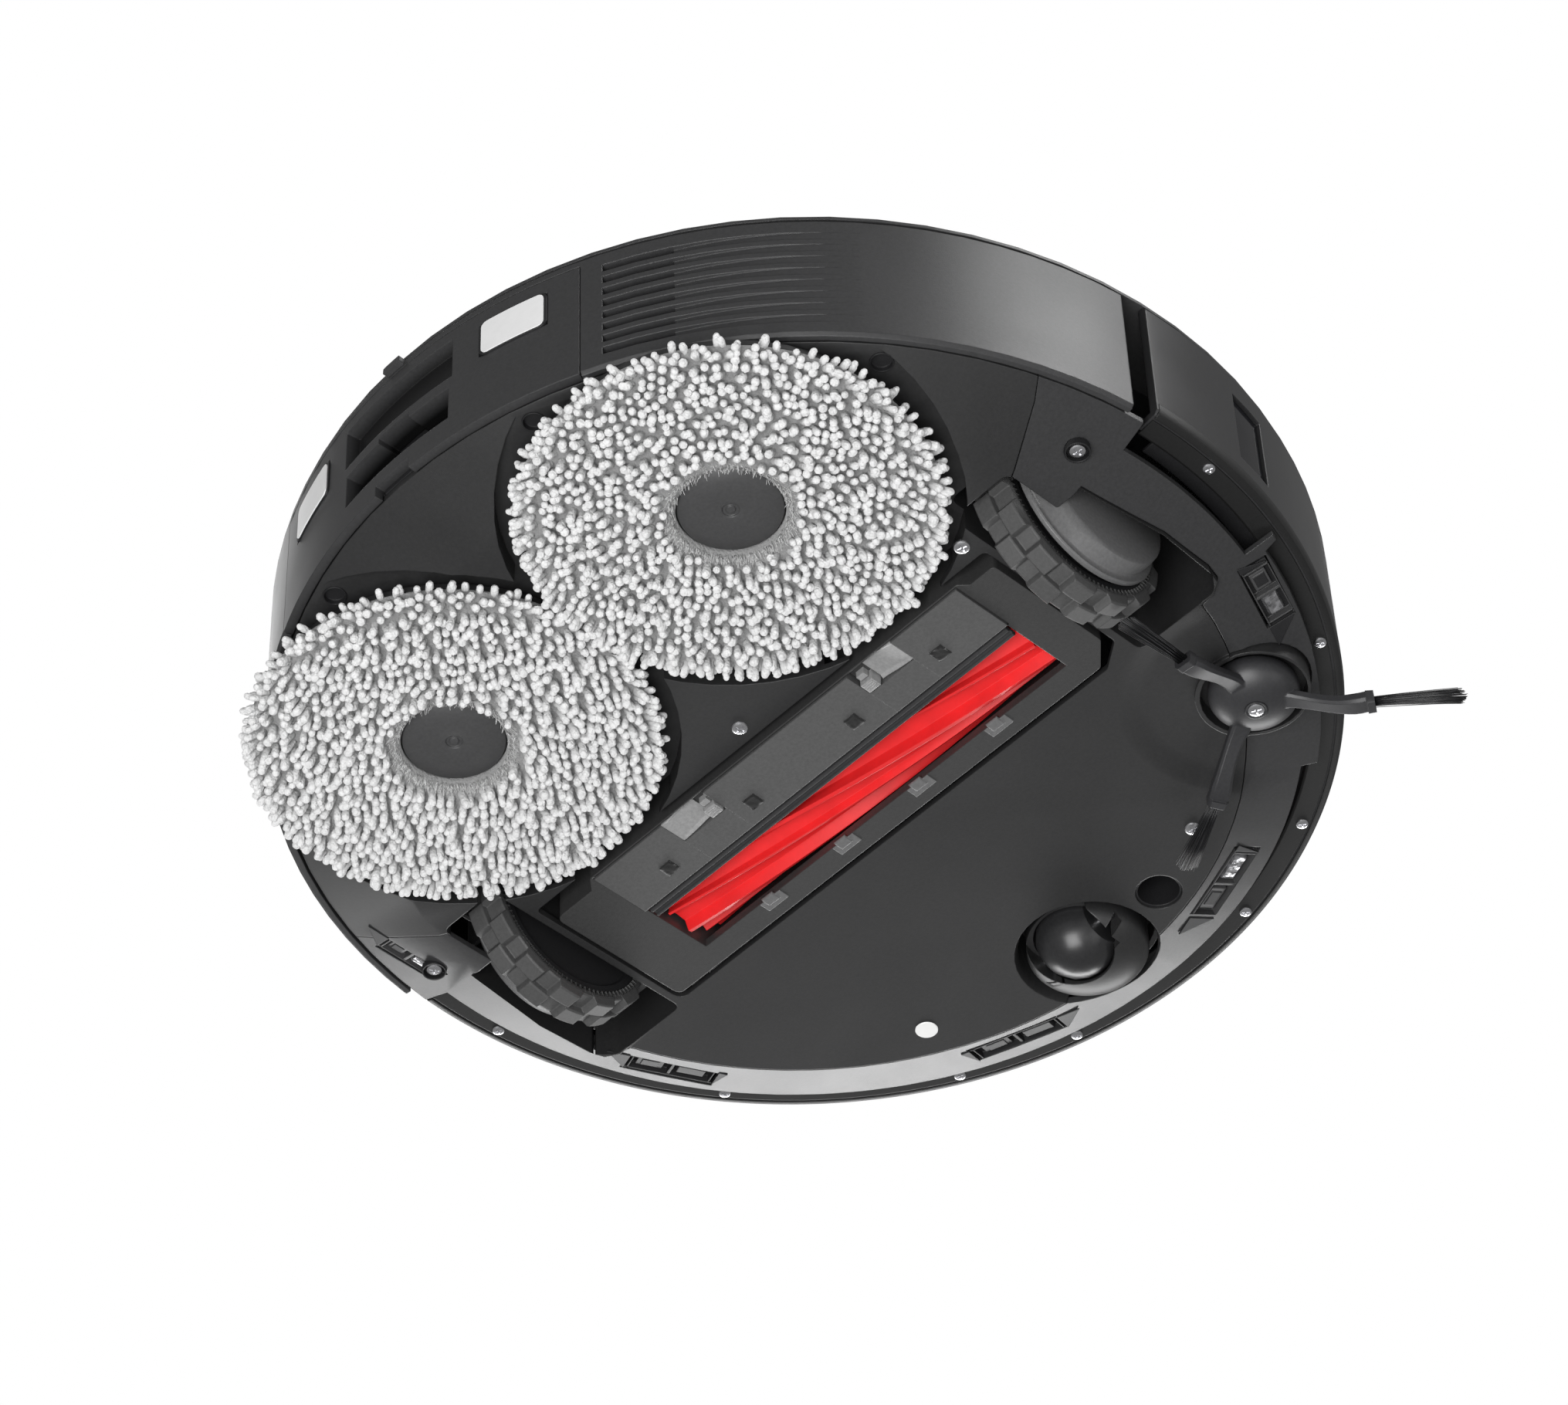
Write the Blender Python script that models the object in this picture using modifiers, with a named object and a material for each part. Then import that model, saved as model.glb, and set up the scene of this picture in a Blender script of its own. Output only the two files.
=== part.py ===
"""Robot vacuum and mop: a round floor cleaner that drives on two sprung wheels and a caster.

Frame: +Z up, front of the robot towards -Y, its right side towards -X. The origin is at the
centre of the round body, on the plane that the hanging wheels touch.
"""
import math

import bmesh
import bpy
from mathutils import Matrix, Vector

# ---- driving dimensions, in metres -------------------------------------------------------
BODY_R = 0.175            # outer radius of the round body
UNDER = 0.018             # height of the flat underside, wheels hanging at full travel
WALL_TOP = UNDER + 0.065  # top of the side wall
LIP_Z = UNDER + 0.0092    # lower edge of the side wall at the rear
SKIN = 0.0025             # wall thickness of the moulded pan
FLAT_R = 0.142            # the underside is flat inside this radius and slopes up outside it
FLANK_R = 0.1714          # outer radius of the sloping flank
FIT = 0.0003              # gap between touching pieces
OUTSIDE = 0.190           # a radius clear of the body, for cutting outlines
STEPS = 72                # segments of a large turned shape

WHEEL_Y = 0.0016          # drive wheel axis, with the wheel hanging
WHEEL_R = 0.0361
WHEEL_Z = WHEEL_R         # the tyre touches the floor plane
WHEEL_X0 = 0.1133         # inner and outer face of the tyre
WHEEL_X1 = 0.1274
ARM_PIVOT = (0.0345, UNDER + 0.047)  # y and z of the swing arm's pin
WELL_TOP = UNDER + 0.0634

ROLLER_Y = -0.0165        # main brush axis
ROLLER_Z = UNDER + 0.0175
ROLLER_R = 0.0190         # over the fins
MOUTH_X = (-0.0895, 0.0805)          # suction mouth
MOUTH_Y = (-0.0290, -0.0020)

CASTER_Y = -0.1287        # swivel axis
CASTER_TRAIL = 0.0048     # the wheel trails behind the swivel axis by this much
CASTER_R = 0.0142
CASTER_Z = UNDER - 0.0095 + CASTER_R

SIDE_BRUSH = Vector((-0.1192, -0.0842, 0.0))
SIDE_BRUSH_TURN = math.radians(-25.3)  # direction of the first arm
SIDE_ARM_R = 0.038
SIDE_TUFT_R = 0.0645

MOP_X = 0.0658            # mop centres
MOP_Y = 0.0934
MOP_R = 0.0652            # solid part of a mop pad, without the strands that stand out of it
MOP_RECESS_R = 0.0730
MOP_ROOF = UNDER + 0.0090

DECK_Z0 = UNDER + 0.0662
DECK_Z1 = UNDER + 0.0690
LID_R = 0.140
LID_Y = 0.0080            # hinge line of the bin lid
TURRET_Y = 0.075
TURRET_R = 0.042

BUMPER_END = 85.2         # degrees from the rear centre line
SHELL_END = 82.0
PANEL_END = 24.0

# ---- collections and materials -----------------------------------------------------------
for old in list(bpy.data.objects):
    bpy.data.objects.remove(old, do_unlink=True)

PARTS = bpy.data.collections.new("robot_vacuum")
CUTTERS = bpy.data.collections.new("cutters")
bpy.context.scene.collection.children.link(PARTS)
bpy.context.scene.collection.children.link(CUTTERS)


def material(name, colour, roughness, metallic=0.0):
    """A plain Principled material."""
    mat = bpy.data.materials.new(name)
    mat.use_nodes = True
    shader = mat.node_tree.nodes["Principled BSDF"]
    shader.inputs["Base Color"].default_value = (*colour, 1.0)
    shader.inputs["Roughness"].default_value = roughness
    shader.inputs["Metallic"].default_value = metallic
    return mat


CHARCOAL = material("charcoal_plastic", (0.035, 0.036, 0.039), 0.45)
GRAPHITE = material("graphite_plastic", (0.055, 0.056, 0.060), 0.40)
GLOSS = material("dark_window", (0.010, 0.010, 0.012), 0.12)
GREY = material("grey_plastic", (0.25, 0.25, 0.26), 0.45)
RUBBER = material("tyre_rubber", (0.045, 0.045, 0.047), 0.75)
RED = material("red_rubber", (0.62, 0.015, 0.02), 0.42)
PALE = material("microfibre", (0.66, 0.67, 0.69), 0.95)
NYLON = material("black_bristle", (0.012, 0.012, 0.013), 0.55)
STEEL = material("bright_steel", (0.70, 0.70, 0.72), 0.22, 1.0)
BOARD = material("circuit_board", (0.02, 0.12, 0.05), 0.50)
CELL = material("battery_wrap", (0.03, 0.07, 0.20), 0.55)
SMOKE = material("smoked_clear", (0.10, 0.10, 0.11), 0.15)


# ---- modelling tools ---------------------------------------------------------------------
def place(obj, mat=None, sharp=35.0):
    """Puts an object in the part, or among the cutters when it has no material."""
    if mat is None:
        CUTTERS.objects.link(obj)
        obj.hide_render = True
        obj.display_type = "WIRE"
        return obj
    PARTS.objects.link(obj)
    obj.data.materials.clear()
    obj.data.materials.append(mat)
    obj.data.shade_smooth()
    obj.data.set_sharp_from_angle(angle=math.radians(sharp))
    return obj


def from_bmesh(name, bm, mat=None, location=(0.0, 0.0, 0.0)):
    """Turns a bmesh into an object placed at location."""
    mesh = bpy.data.meshes.new(name)
    bm.to_mesh(mesh)
    bm.free()
    obj = bpy.data.objects.new(name, mesh)
    obj.location = location
    return place(obj, mat)


def box(name, lo, hi, mat=None, turn=0.0, origin=None):
    """A box from lo to hi, turned about its own centre's Z axis by turn radians."""
    lo = Vector(lo)
    hi = Vector(hi)
    middle = (lo + hi) / 2
    origin = Vector(origin) if origin else middle
    bm = bmesh.new()
    bmesh.ops.create_cube(bm, size=1.0)
    bmesh.ops.scale(bm, vec=hi - lo, verts=bm.verts)
    bmesh.ops.rotate(bm, matrix=Matrix.Rotation(turn, 3, "Z"), verts=bm.verts)
    bmesh.ops.translate(bm, vec=middle - origin, verts=bm.verts)
    return from_bmesh(name, bm, mat, origin)


def rod(name, radius, start, end, mat=None, segments=20, radius_end=None):
    """A cylinder, or a cone, from start to end. Its origin is at start."""
    start = Vector(start)
    along = Vector(end) - start
    bm = bmesh.new()
    bmesh.ops.create_cone(
        bm, cap_ends=True, segments=segments, radius1=radius,
        radius2=radius if radius_end is None else radius_end, depth=along.length)
    bmesh.ops.translate(bm, vec=(0, 0, along.length / 2), verts=bm.verts)
    turn = Vector((0, 0, 1)).rotation_difference(along.normalized()).to_matrix()
    bmesh.ops.rotate(bm, matrix=turn, verts=bm.verts)
    return from_bmesh(name, bm, mat, start)


def turned(name, profile, mat=None, centre=(0.0, 0.0), steps=STEPS, closed=False, base=0.0):
    """Turns a profile of (radius, height) points, top to bottom on the outer side, about Z."""
    mesh = bpy.data.meshes.new(name)
    points = [(r, 0.0, z - base) for r, z in profile]
    edges = [(i, i + 1) for i in range(len(points) - 1)]
    if closed:
        edges.append((len(points) - 1, 0))
    mesh.from_pydata(points, edges, [])
    obj = bpy.data.objects.new(name, mesh)
    obj.location = (centre[0], centre[1], base)
    screw = obj.modifiers.new("turn", "SCREW")
    screw.angle = math.tau
    screw.steps = steps
    screw.render_steps = steps
    screw.use_merge_vertices = True
    screw.merge_threshold = 0.00005
    screw.use_smooth_shade = True
    return place(obj, mat)


def plate(name, outline, z0, z1, mat=None, base=(0.0, 0.0)):
    """A flat outline of (x, y) points, extruded from z0 to z1."""
    curve = bpy.data.curves.new(name, "CURVE")
    curve.dimensions = "2D"
    curve.fill_mode = "BOTH"
    curve.extrude = (z1 - z0) / 2
    spline = curve.splines.new("POLY")
    spline.points.add(len(outline) - 1)
    for point, (x, y) in zip(spline.points, outline):
        point.co = (x - base[0], y - base[1], 0.0, 1.0)
    spline.use_cyclic_u = True
    guide = bpy.data.objects.new(name + "_outline", curve)
    CUTTERS.objects.link(guide)
    bpy.context.view_layer.update()
    seen = guide.evaluated_get(bpy.context.evaluated_depsgraph_get())
    mesh = bpy.data.meshes.new_from_object(seen)
    bpy.data.objects.remove(guide, do_unlink=True)
    bm = bmesh.new()
    bm.from_mesh(mesh)
    bmesh.ops.remove_doubles(bm, verts=bm.verts, dist=0.00001)
    bmesh.ops.recalc_face_normals(bm, faces=bm.faces)
    bpy.data.meshes.remove(mesh)
    return from_bmesh(name, bm, mat, (base[0], base[1], (z0 + z1) / 2))


def boolean(obj, operation, tools):
    """Adds one Boolean modifier for each tool."""
    for tool in tools:
        step = obj.modifiers.new(operation.lower(), "BOOLEAN")
        step.operation = operation
        step.solver = "EXACT"
        step.object = tool
    return obj


def cut(obj, *tools):
    return boolean(obj, "DIFFERENCE", tools)


def fuse(obj, *tools):
    return boolean(obj, "UNION", tools)


def keep(obj, *tools):
    return boolean(obj, "INTERSECT", tools)


def polar(radius, degrees):
    """The point at this radius, the angle counted from the rear (+Y) towards +X."""
    a = math.radians(degrees)
    return radius * math.sin(a), radius * math.cos(a)


def arc(radius, start, end, count):
    """Points along an arc about the body's centre, angles as in polar."""
    return [polar(radius, start + (end - start) * i / count) for i in range(count + 1)]


def sector(name, r0, r1, start, end, z0, z1, mat=None, count=12):
    """A wall that follows the body's curve between two angles."""
    outline = arc(r1, start, end, count) + arc(r0, end, start, count)
    return plate(name, outline, z0, z1, mat)


def circle(x, y, radius, start, end, count):
    """Points on a circle about (x, y), angles in degrees from +X."""
    turn = [math.radians(start + (end - start) * i / count) for i in range(count + 1)]
    return [(x + radius * math.cos(a), y + radius * math.sin(a)) for a in turn]


def rounded(points, radii):
    """An outline with its corners rounded; a radius of zero leaves that corner sharp."""
    outline = []
    for i, (corner, radius) in enumerate(zip(points, radii)):
        corner = Vector(corner)
        if radius == 0.0:
            outline.append(tuple(corner))
            continue
        back = (Vector(points[i - 1]) - corner).normalized()
        ahead = (Vector(points[(i + 1) % len(points)]) - corner).normalized()
        half = back.angle(ahead) / 2
        start = corner + back * radius / math.tan(half)
        end = corner + ahead * radius / math.tan(half)
        for share in (0.0, 0.25, 0.5, 0.75, 1.0):
            near = start.lerp(corner, share)
            outline.append(tuple(near.lerp(corner.lerp(end, share), share)))
    return outline


def side_name(side):
    return "left" if side > 0 else "right"


# ---- outlines that several pieces share --------------------------------------------------
def well_outline(side, grow=0.0):
    """The wheel well in plan: wide beside the gearbox, narrow beside the arm."""
    g = grow
    points = [
        (0.1090 - g, -0.0430 - g), (0.1415 + g, -0.0430 - g), (0.1460 + g, -0.0375 - g / 2),
        (0.1475 + g, -0.0140), (0.1440 + g, 0.0188 + g), (0.1335 + g, 0.0188 + g),
        (0.1335 + g, 0.0405 + g), (0.1090 - g, 0.0405 + g)]
    points = rounded(points, (0.003, 0.005, 0.004, 0.0, 0.0, 0.0, 0.003, 0.003))
    return [(side * x, y) for x, y in points]


def side_trim_outline(side, grow=0.0):
    """The trim outside a wheel, from the well to the edge of the body."""
    g = grow
    edge = OUTSIDE if grow else FLANK_R - 0.0004
    tip_x = 0.1780 if grow else 0.1624
    tip_y = 0.0500 + 0.72 * (tip_x - 0.1560) + g
    rear = math.degrees(math.atan2(tip_x, tip_y))
    front = 90 + math.degrees(math.asin((0.0480 + g) / edge))
    points = [(0.1338 - g, 0.0385 + g), (0.1560, 0.0500 + g)]
    points += arc(math.hypot(tip_x, tip_y), rear, front, 12)
    points += [(0.1345 - g, -0.0480 - g), (0.1352 - g, -0.0440 + g), (0.1405 - g, -0.0440 + g)]
    points += [(0.1452 - g, -0.0410 + g), (0.1468 - g, -0.0350), (0.1479 - g, -0.0140)]
    points += [(0.1444 - g, 0.0191 - g), (0.1338 - g, 0.0191 - g)]
    return [(side * x, y) for x, y in points]


def band_outline(grow=0.0):
    """The sloping trim under the bumper, from one wheel round the front to the other."""
    g = grow
    edge = OUTSIDE if grow else 0.1668
    inner = math.degrees(math.asin(-(0.0450 - g) / (FLAT_R + 0.0002 - g)))
    outer = math.degrees(math.asin(-(0.0450 - g) / edge))
    points = arc(edge, 90 - outer, 270 + outer, 40)
    points += arc(FLAT_R + 0.0002 - g, 270 + inner, 90 - inner, 40)
    return points


def underside_profile(lift=0.0):
    """The pan's section: flat in the middle, sloping up outside."""
    return [(0.0, UNDER + SKIN + lift), (FLAT_R, UNDER + SKIN + lift),
            (FLANK_R, UNDER + 0.0120 + lift), (FLANK_R, UNDER + 0.0095),
            (FLAT_R, UNDER), (0.0, UNDER)]


def slot_outline(radius):
    """A vent slot in plan: open near the rear panel, then a groove that fades forwards."""
    near, through, far = -26.4, -33.9, -54.0
    fade = []
    for i in range(10):
        angle = through + (far - through) * i / 9
        depth = 0.0017 * (1 - i / 9) ** 1.5
        fade.append(polar(radius - depth + 0.00002, angle))
    return [polar(radius + 0.004, near), polar(radius - 0.006, near),
            polar(radius - 0.006, through)] + fade + [
        polar(radius + 0.004, far), polar(radius + 0.006, (near + far) / 2)]


# ---- pan and trim ------------------------------------------------------------------------
CLIFFS = {
    # name: centre x, y, length, direction of the long side in degrees from +X
    "front_right": (-0.0525, -0.1405, 0.031, -20.0),
    "front_left": (0.0475, -0.1420, 0.031, 19.0),
    "right": (-0.1490, -0.0595, 0.024, 113.0),
    "left": (0.1375, -0.0640, 0.030, 66.0),
    "rear_left": (0.1560, 0.0370, 0.020, 85.0),
}


def cliff_cut(name, size, depth):
    """A box along a cliff sensor, wide as size gives, reaching depth above the underside."""
    x, y, length, turn = CLIFFS[name]
    grow, width = size
    half = Vector(((length + grow) / 2, width / 2, 0.0))
    middle = Vector((x, y, 0.0))
    return box("cliff_cut_" + name, middle - half + Vector((0, 0, UNDER - 0.004)),
               middle + half + Vector((0, 0, UNDER + depth)), turn=math.radians(turn))


def caster_pocket(name):
    """The round pocket of the caster, with a chamfered rim."""
    pocket = rod(name, 0.0236, (0, CASTER_Y, UNDER - 0.003), (0, CASTER_Y, UNDER + 0.0210),
                 segments=36)
    rim = rod(name + "_rim", 0.0262, (0, CASTER_Y, UNDER - 0.0031),
              (0, CASTER_Y, UNDER + 0.0030), segments=36, radius_end=0.0236)
    return pocket, rim


def brush_bay(name, radius):
    """The round area about the side brush that belongs to the pan and not to the trim."""
    return rod(name, radius, SIDE_BRUSH + Vector((0, 0, UNDER - 0.006)),
               SIDE_BRUSH + Vector((0, 0, UNDER + 0.020)), segments=36)


def brush_dish(name):
    """The shallow dish about the side brush, with a smooth slope round its edge."""
    floor, inner, outer = UNDER + 0.0014, 0.0340, 0.0450
    slope = []
    for i in range(7):
        share = i / 6
        drop = 0.5 + 0.5 * math.cos(math.pi * share)
        slope.append((inner + (outer - inner) * share, UNDER + 0.0014 * drop - 0.00003))
    return turned(name, [(0.0190, UNDER - 0.0100), (0.0190, floor)] + slope
                  + [(outer, UNDER - 0.0100)], centre=SIDE_BRUSH[:2], steps=40, closed=True)


def base_pan():
    """The moulded pan: floor, wheel wells, caster cup, side-brush cup and mop recesses."""
    pan = turned("base_pan", underside_profile(), CHARCOAL)
    block = turned("rear_block", [(0.0, UNDER + 0.0118), (0.1690, UNDER + 0.0118),
                                  (0.1690, UNDER + 0.0095), (FLAT_R, UNDER + 0.0006),
                                  (0.0, UNDER + 0.0006)])
    keep(block, box("rear_block_zone", (-0.2, 0.0265, 0.0), (0.2, 0.2, 0.1)))
    fuse(pan, block)
    for side in (1, -1):
        name = side_name(side)
        fuse(pan, plate("well_wall_" + name, well_outline(side, 0.0014),
                        UNDER + 0.0004, WELL_TOP + 0.0011))
    fuse(pan, rod("caster_cup", 0.0256, (0, CASTER_Y, UNDER + 0.0005),
                  (0, CASTER_Y, UNDER + 0.0235), segments=36))
    fuse(pan, rod("brush_cup", 0.0192, SIDE_BRUSH + Vector((0, 0, UNDER + 0.0005)),
                  SIDE_BRUSH + Vector((0, 0, UNDER + 0.0088)), segments=28))
    for side in (1, -1):
        name = side_name(side)
        x = side * MOP_X
        cut(pan, plate("well_cut_" + name, well_outline(side), UNDER - 0.002, WELL_TOP))
        cut(pan, plate("trim_cut_" + name, side_trim_outline(side, FIT),
                       UNDER - 0.003, UNDER + 0.0135))
        cut(pan, rod("mop_cut_" + name, MOP_RECESS_R, (x, MOP_Y, UNDER - 0.002),
                     (x, MOP_Y, MOP_ROOF), segments=48))
        cut(pan, rod("shaft_cut_" + name, 0.0075, (x, MOP_Y, UNDER), (x, MOP_Y, UNDER + 0.02),
                       segments=16))
        for angle in (55.0, 16.8):
            hx, hy = polar(0.1650, side * angle)
            cut(pan, rod("hole_%s_%d" % (name, angle), 0.0038, (hx, hy, UNDER),
                         (hx, hy, UNDER + 0.0110), segments=12))
    band_cut = plate("band_cut", band_outline(FIT), UNDER - 0.003, UNDER + 0.0135)
    cut(pan, cut(band_cut, brush_bay("pan_bay", 0.0184)))
    hole = [(0.1062, -0.0410), (0.1062, 0.0235), (-0.1062, 0.0235), (-0.1062, -0.0340),
            (-0.0960, -0.0410)]
    cut(pan, plate("brush_hole", rounded(hole, (0.004, 0.002, 0.002, 0.002, 0.003)),
                   UNDER - 0.002, UNDER + 0.02))
    cut(pan, *caster_pocket("caster_pocket"))
    cut(pan, rod("caster_pin_hole", 0.0046, (0, CASTER_Y, UNDER + 0.01),
                 (0, CASTER_Y, UNDER + 0.03)))
    cut(pan, rod("brush_pocket", 0.0174, SIDE_BRUSH + Vector((0, 0, UNDER - 0.002)),
                 SIDE_BRUSH + Vector((0, 0, UNDER + 0.0066)), segments=28))
    cut(pan, brush_dish("pan_dish"))
    cut(pan, rod("brush_shaft_hole", 0.0042, SIDE_BRUSH + Vector((0, 0, UNDER)),
                 SIDE_BRUSH + Vector((0, 0, UNDER + 0.02))))
    cut(pan, rod("round_port", 0.0079, (-0.0361, -0.1255, UNDER - 0.002),
                 (-0.0361, -0.1255, UNDER + 0.02)))
    return pan


def underside_trim():
    """The one-piece trim that slopes up outside the pan: both sides and round the front."""
    trim = turned("underside_trim", underside_profile(-0.0003), GRAPHITE)
    zone = plate("trim_zone", band_outline(), UNDER - 0.005, UNDER + 0.0150)
    for side in (1, -1):
        fuse(zone, plate("trim_zone_" + side_name(side), side_trim_outline(side),
                         UNDER - 0.006, UNDER + 0.0160))
    keep(trim, zone)
    # the trim stops short of the bumper's flange, which needs room to be pressed in
    for name, start, end in (("left", BUMPER_END - 1.0, 220.0), ("right", 254.5, 361.0 - BUMPER_END)):
        cut(trim, sector("trim_edge_" + name, 0.1612, 0.195, start, end, 0.0, 0.06, count=60))
    cut(trim, *caster_pocket("trim_pocket"))
    cut(trim, brush_bay("trim_bay", 0.0192))
    cut(trim, brush_dish("trim_dish"))
    for name in ("front_right", "front_left", "right", "left"):
        cut(trim, cliff_cut(name, (0.003, 0.0098), 0.0150))
    cut(trim, cliff_cut("rear_left", (0.002, 0.0075), 0.0150))
    for side in (1, -1):
        cut(trim, rod("trim_hole_" + side_name(side), 0.0042, (side * 0.1525, 0.0286, UNDER - 0.002),
                      (side * 0.1525, 0.0286, UNDER + 0.0050), segments=24))
    return trim


def cliff_windows():
    """Clear covers over the downward-looking floor sensors."""
    for name, (x, y, length, turn) in CLIFFS.items():
        width = 0.0068 if name == "rear_left" else 0.0090
        half = Vector((length / 2 + 0.0004, width / 2, 0.0))
        radius = math.hypot(x, y)
        floor = UNDER + max(0.0, (radius - FLAT_R) * 0.0095 / (FLANK_R - FLAT_R))
        low = floor + 0.0005
        box("cliff_window_" + name, Vector((x, y, low)) - half,
            Vector((x, y, low + 0.0045)) + half, GLOSS, turn=math.radians(turn))


# ---- side wall, rear panel and charging contacts -----------------------------------------
def rear_shell():
    """The rear two fifths of the side wall, with the exhaust slots on its right side."""
    inner = 0.1722
    shell = turned("rear_shell", [
        (inner, WALL_TOP), (BODY_R - 0.0012, WALL_TOP), (BODY_R, WALL_TOP - 0.0015),
        (BODY_R, LIP_Z + 0.0012), (BODY_R - 0.0010, LIP_Z), (inner, LIP_Z)],
        CHARCOAL, steps=96, closed=True)
    keep(shell, sector("shell_zone", 0.150, 0.190, -SHELL_END, SHELL_END, 0.0, 0.12, count=24))
    cut(shell, sector("panel_zone", 0.160, 0.190, -PANEL_END, PANEL_END, 0.0,
                      UNDER + 0.0612))
    for row in range(8):
        middle = UNDER + 0.0565 - 0.0057 * row
        cut(shell, plate("vent_%d" % row, slot_outline(BODY_R),
                         middle - 0.0017, middle + 0.0017))
    return shell


def rear_panel():
    """The panel that meets the dock: scoop, suction port and two contact seats."""
    edge = PANEL_END - 0.12
    panel = sector("rear_panel", 0.1665, BODY_R - 0.0001, -edge, edge,
                   LIP_Z + 0.0002, UNDER + 0.0609, GRAPHITE, count=24)
    cut(panel, sector("port", 0.160, 0.190, -8.1, 8.1, UNDER + 0.0192, UNDER + 0.0338, count=8))
    cut(panel, sector("port_bump", 0.160, 0.190, -2.4, 2.4, UNDER + 0.0300, UNDER + 0.0362,
                      count=4))
    low = UNDER + 0.0385
    high = UNDER + 0.0563
    cut(panel, sector("scoop_cut", 0.1700, 0.190, -8.5, 8.5, low, high, count=8))
    for side in (1, -1):
        cut(panel, sector("contact_seat_" + side_name(side), 0.1740, 0.190, side * 12.0,
                          side * 20.3, UNDER + 0.0390, UNDER + 0.0548, count=6))
    cut(panel, sector("panel_foot", 0.150, 0.1718, -30, 30, 0.0, UNDER + 0.0125, count=24))
    cut(panel, sector("notch", 0.160, 0.190, -2.6, 2.6, 0.0, UNDER + 0.0140, count=3))
    return panel


def contacts():
    for side in (1, -1):
        sector("charging_contact_" + side_name(side), 0.1743, 0.1753, side * 12.2, side * 20.1,
               UNDER + 0.0393, UNDER + 0.0545, STEEL, count=6)


# ---- bumper ------------------------------------------------------------------------------
def bumper():
    """The front bumper: a wall with an inward flange along its lower edge."""
    shell = turned("bumper", [
        (0.1718, WALL_TOP), (BODY_R - 0.0012, WALL_TOP), (BODY_R, WALL_TOP - 0.0015),
        (BODY_R, UNDER + 0.0150), (BODY_R - 0.0015, UNDER + 0.0136), (0.1662, UNDER + 0.0136),
        (0.1662, UNDER + 0.0162), (0.1718, UNDER + 0.0162)],
        GRAPHITE, steps=96, closed=True)
    keep(shell, sector("bumper_zone", 0.150, 0.190, BUMPER_END, 360 - BUMPER_END, 0.0, 0.12,
                       count=40))
    cut(shell, sector("wall_sensor_cut", 0.160, 0.190, -98.2, -103.4, UNDER + 0.0240,
                      UNDER + 0.0545, count=4))
    cut(shell, sector("window_cut", 0.160, 0.190, 152.0, 208.0, UNDER + 0.0330,
                      UNDER + 0.0530, count=16))
    return shell


def bumper_windows():
    sector("wall_sensor_window", 0.1719, 0.1737, -98.4, -103.2, UNDER + 0.0243,
           UNDER + 0.0542, GLOSS, count=4)
    sector("front_window", 0.1721, 0.1748, 152.15, 207.85, UNDER + 0.0333,
           UNDER + 0.0527, GLOSS, count=16)


# ---- main brush module -------------------------------------------------------------------
def brush_housing():
    """The suction mouth's housing, which holds the roller in a round channel."""
    x0, x1 = -0.1045, 0.1035
    y0, y1 = -0.0378, 0.0212
    outline = [(x0, y0 + 0.0085), (x0 + 0.0085, y0), (x1, y0), (x1, 0.0170),
               (0.0860, 0.0170), (0.0820, y1), (-0.0910, y1), (-0.0940, 0.0180),
               (x0, 0.0180)]
    corners = (0.002, 0.002, 0.003, 0.003, 0.0, 0.0015, 0.0015, 0.0, 0.002)
    housing = plate("brush_housing", rounded(outline, corners),
                    UNDER - 0.0015, UNDER + 0.0425, GRAPHITE)
    low = housing.modifiers.new("soft edges", "BEVEL")
    low.width = 0.0012
    low.segments = 1
    low.limit_method = "ANGLE"
    low.angle_limit = math.radians(60)
    cut(housing, rod("roller_channel", ROLLER_R + 0.0010, (MOUTH_X[0], ROLLER_Y, ROLLER_Z),
                     (MOUTH_X[1], ROLLER_Y, ROLLER_Z), segments=48))
    cut(housing, box("mouth", (MOUTH_X[0], MOUTH_Y[0], UNDER - 0.004),
                     (MOUTH_X[1], MOUTH_Y[1], ROLLER_Z - 0.001)))
    cut(housing, box("cover_seat", (MOUTH_X[0] - 0.0008, MOUTH_Y[1] - 0.0008, UNDER - 0.004),
                     (MOUTH_X[1] + 0.0008, 0.0206, UNDER + 0.0012)))
    cut(housing, box("duct", (-0.030, 0.0, UNDER + 0.0200), (0.030, 0.03, UNDER + 0.0340)))
    cut(housing, rod("bearing_seat", 0.0080, (-0.0990, ROLLER_Y, ROLLER_Z),
                     (-0.0700, ROLLER_Y, ROLLER_Z), segments=24))
    cut(housing, rod("drive_seat", 0.0065, (0.0700, ROLLER_Y, ROLLER_Z),
                     (0.0900, ROLLER_Y, ROLLER_Z), segments=24))
    return housing


LATCH_X = (0.0320, -0.0420)
LATCH_Y = 0.0130


def brush_cover():
    """The lift-off cover behind the mouth, with two windows for its latches."""
    cover = box("brush_cover", (MOUTH_X[0] - 0.0004, MOUTH_Y[1] - 0.0003, UNDER - 0.0022),
                (MOUTH_X[1] + 0.0004, 0.0202, UNDER + 0.0009), GREY)
    edge = cover.modifiers.new("soft edges", "BEVEL")
    edge.width = 0.0006
    edge.segments = 2
    for index, x in enumerate(LATCH_X):
        cut(cover, box("latch_window_%d" % index, (x - 0.0085, LATCH_Y - 0.0050, 0.0),
                       (x + 0.0085, LATCH_Y + 0.0050, UNDER + 0.01)))
    for name, x in zip(("left", "right"), LATCH_X):
        latch = box("cover_latch_" + name, (x - 0.0040, LATCH_Y - 0.0045, UNDER - 0.0026),
                    (x + 0.0040, LATCH_Y + 0.0012, UNDER + 0.0004), GREY)
        soften(latch, 0.0005)


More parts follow.
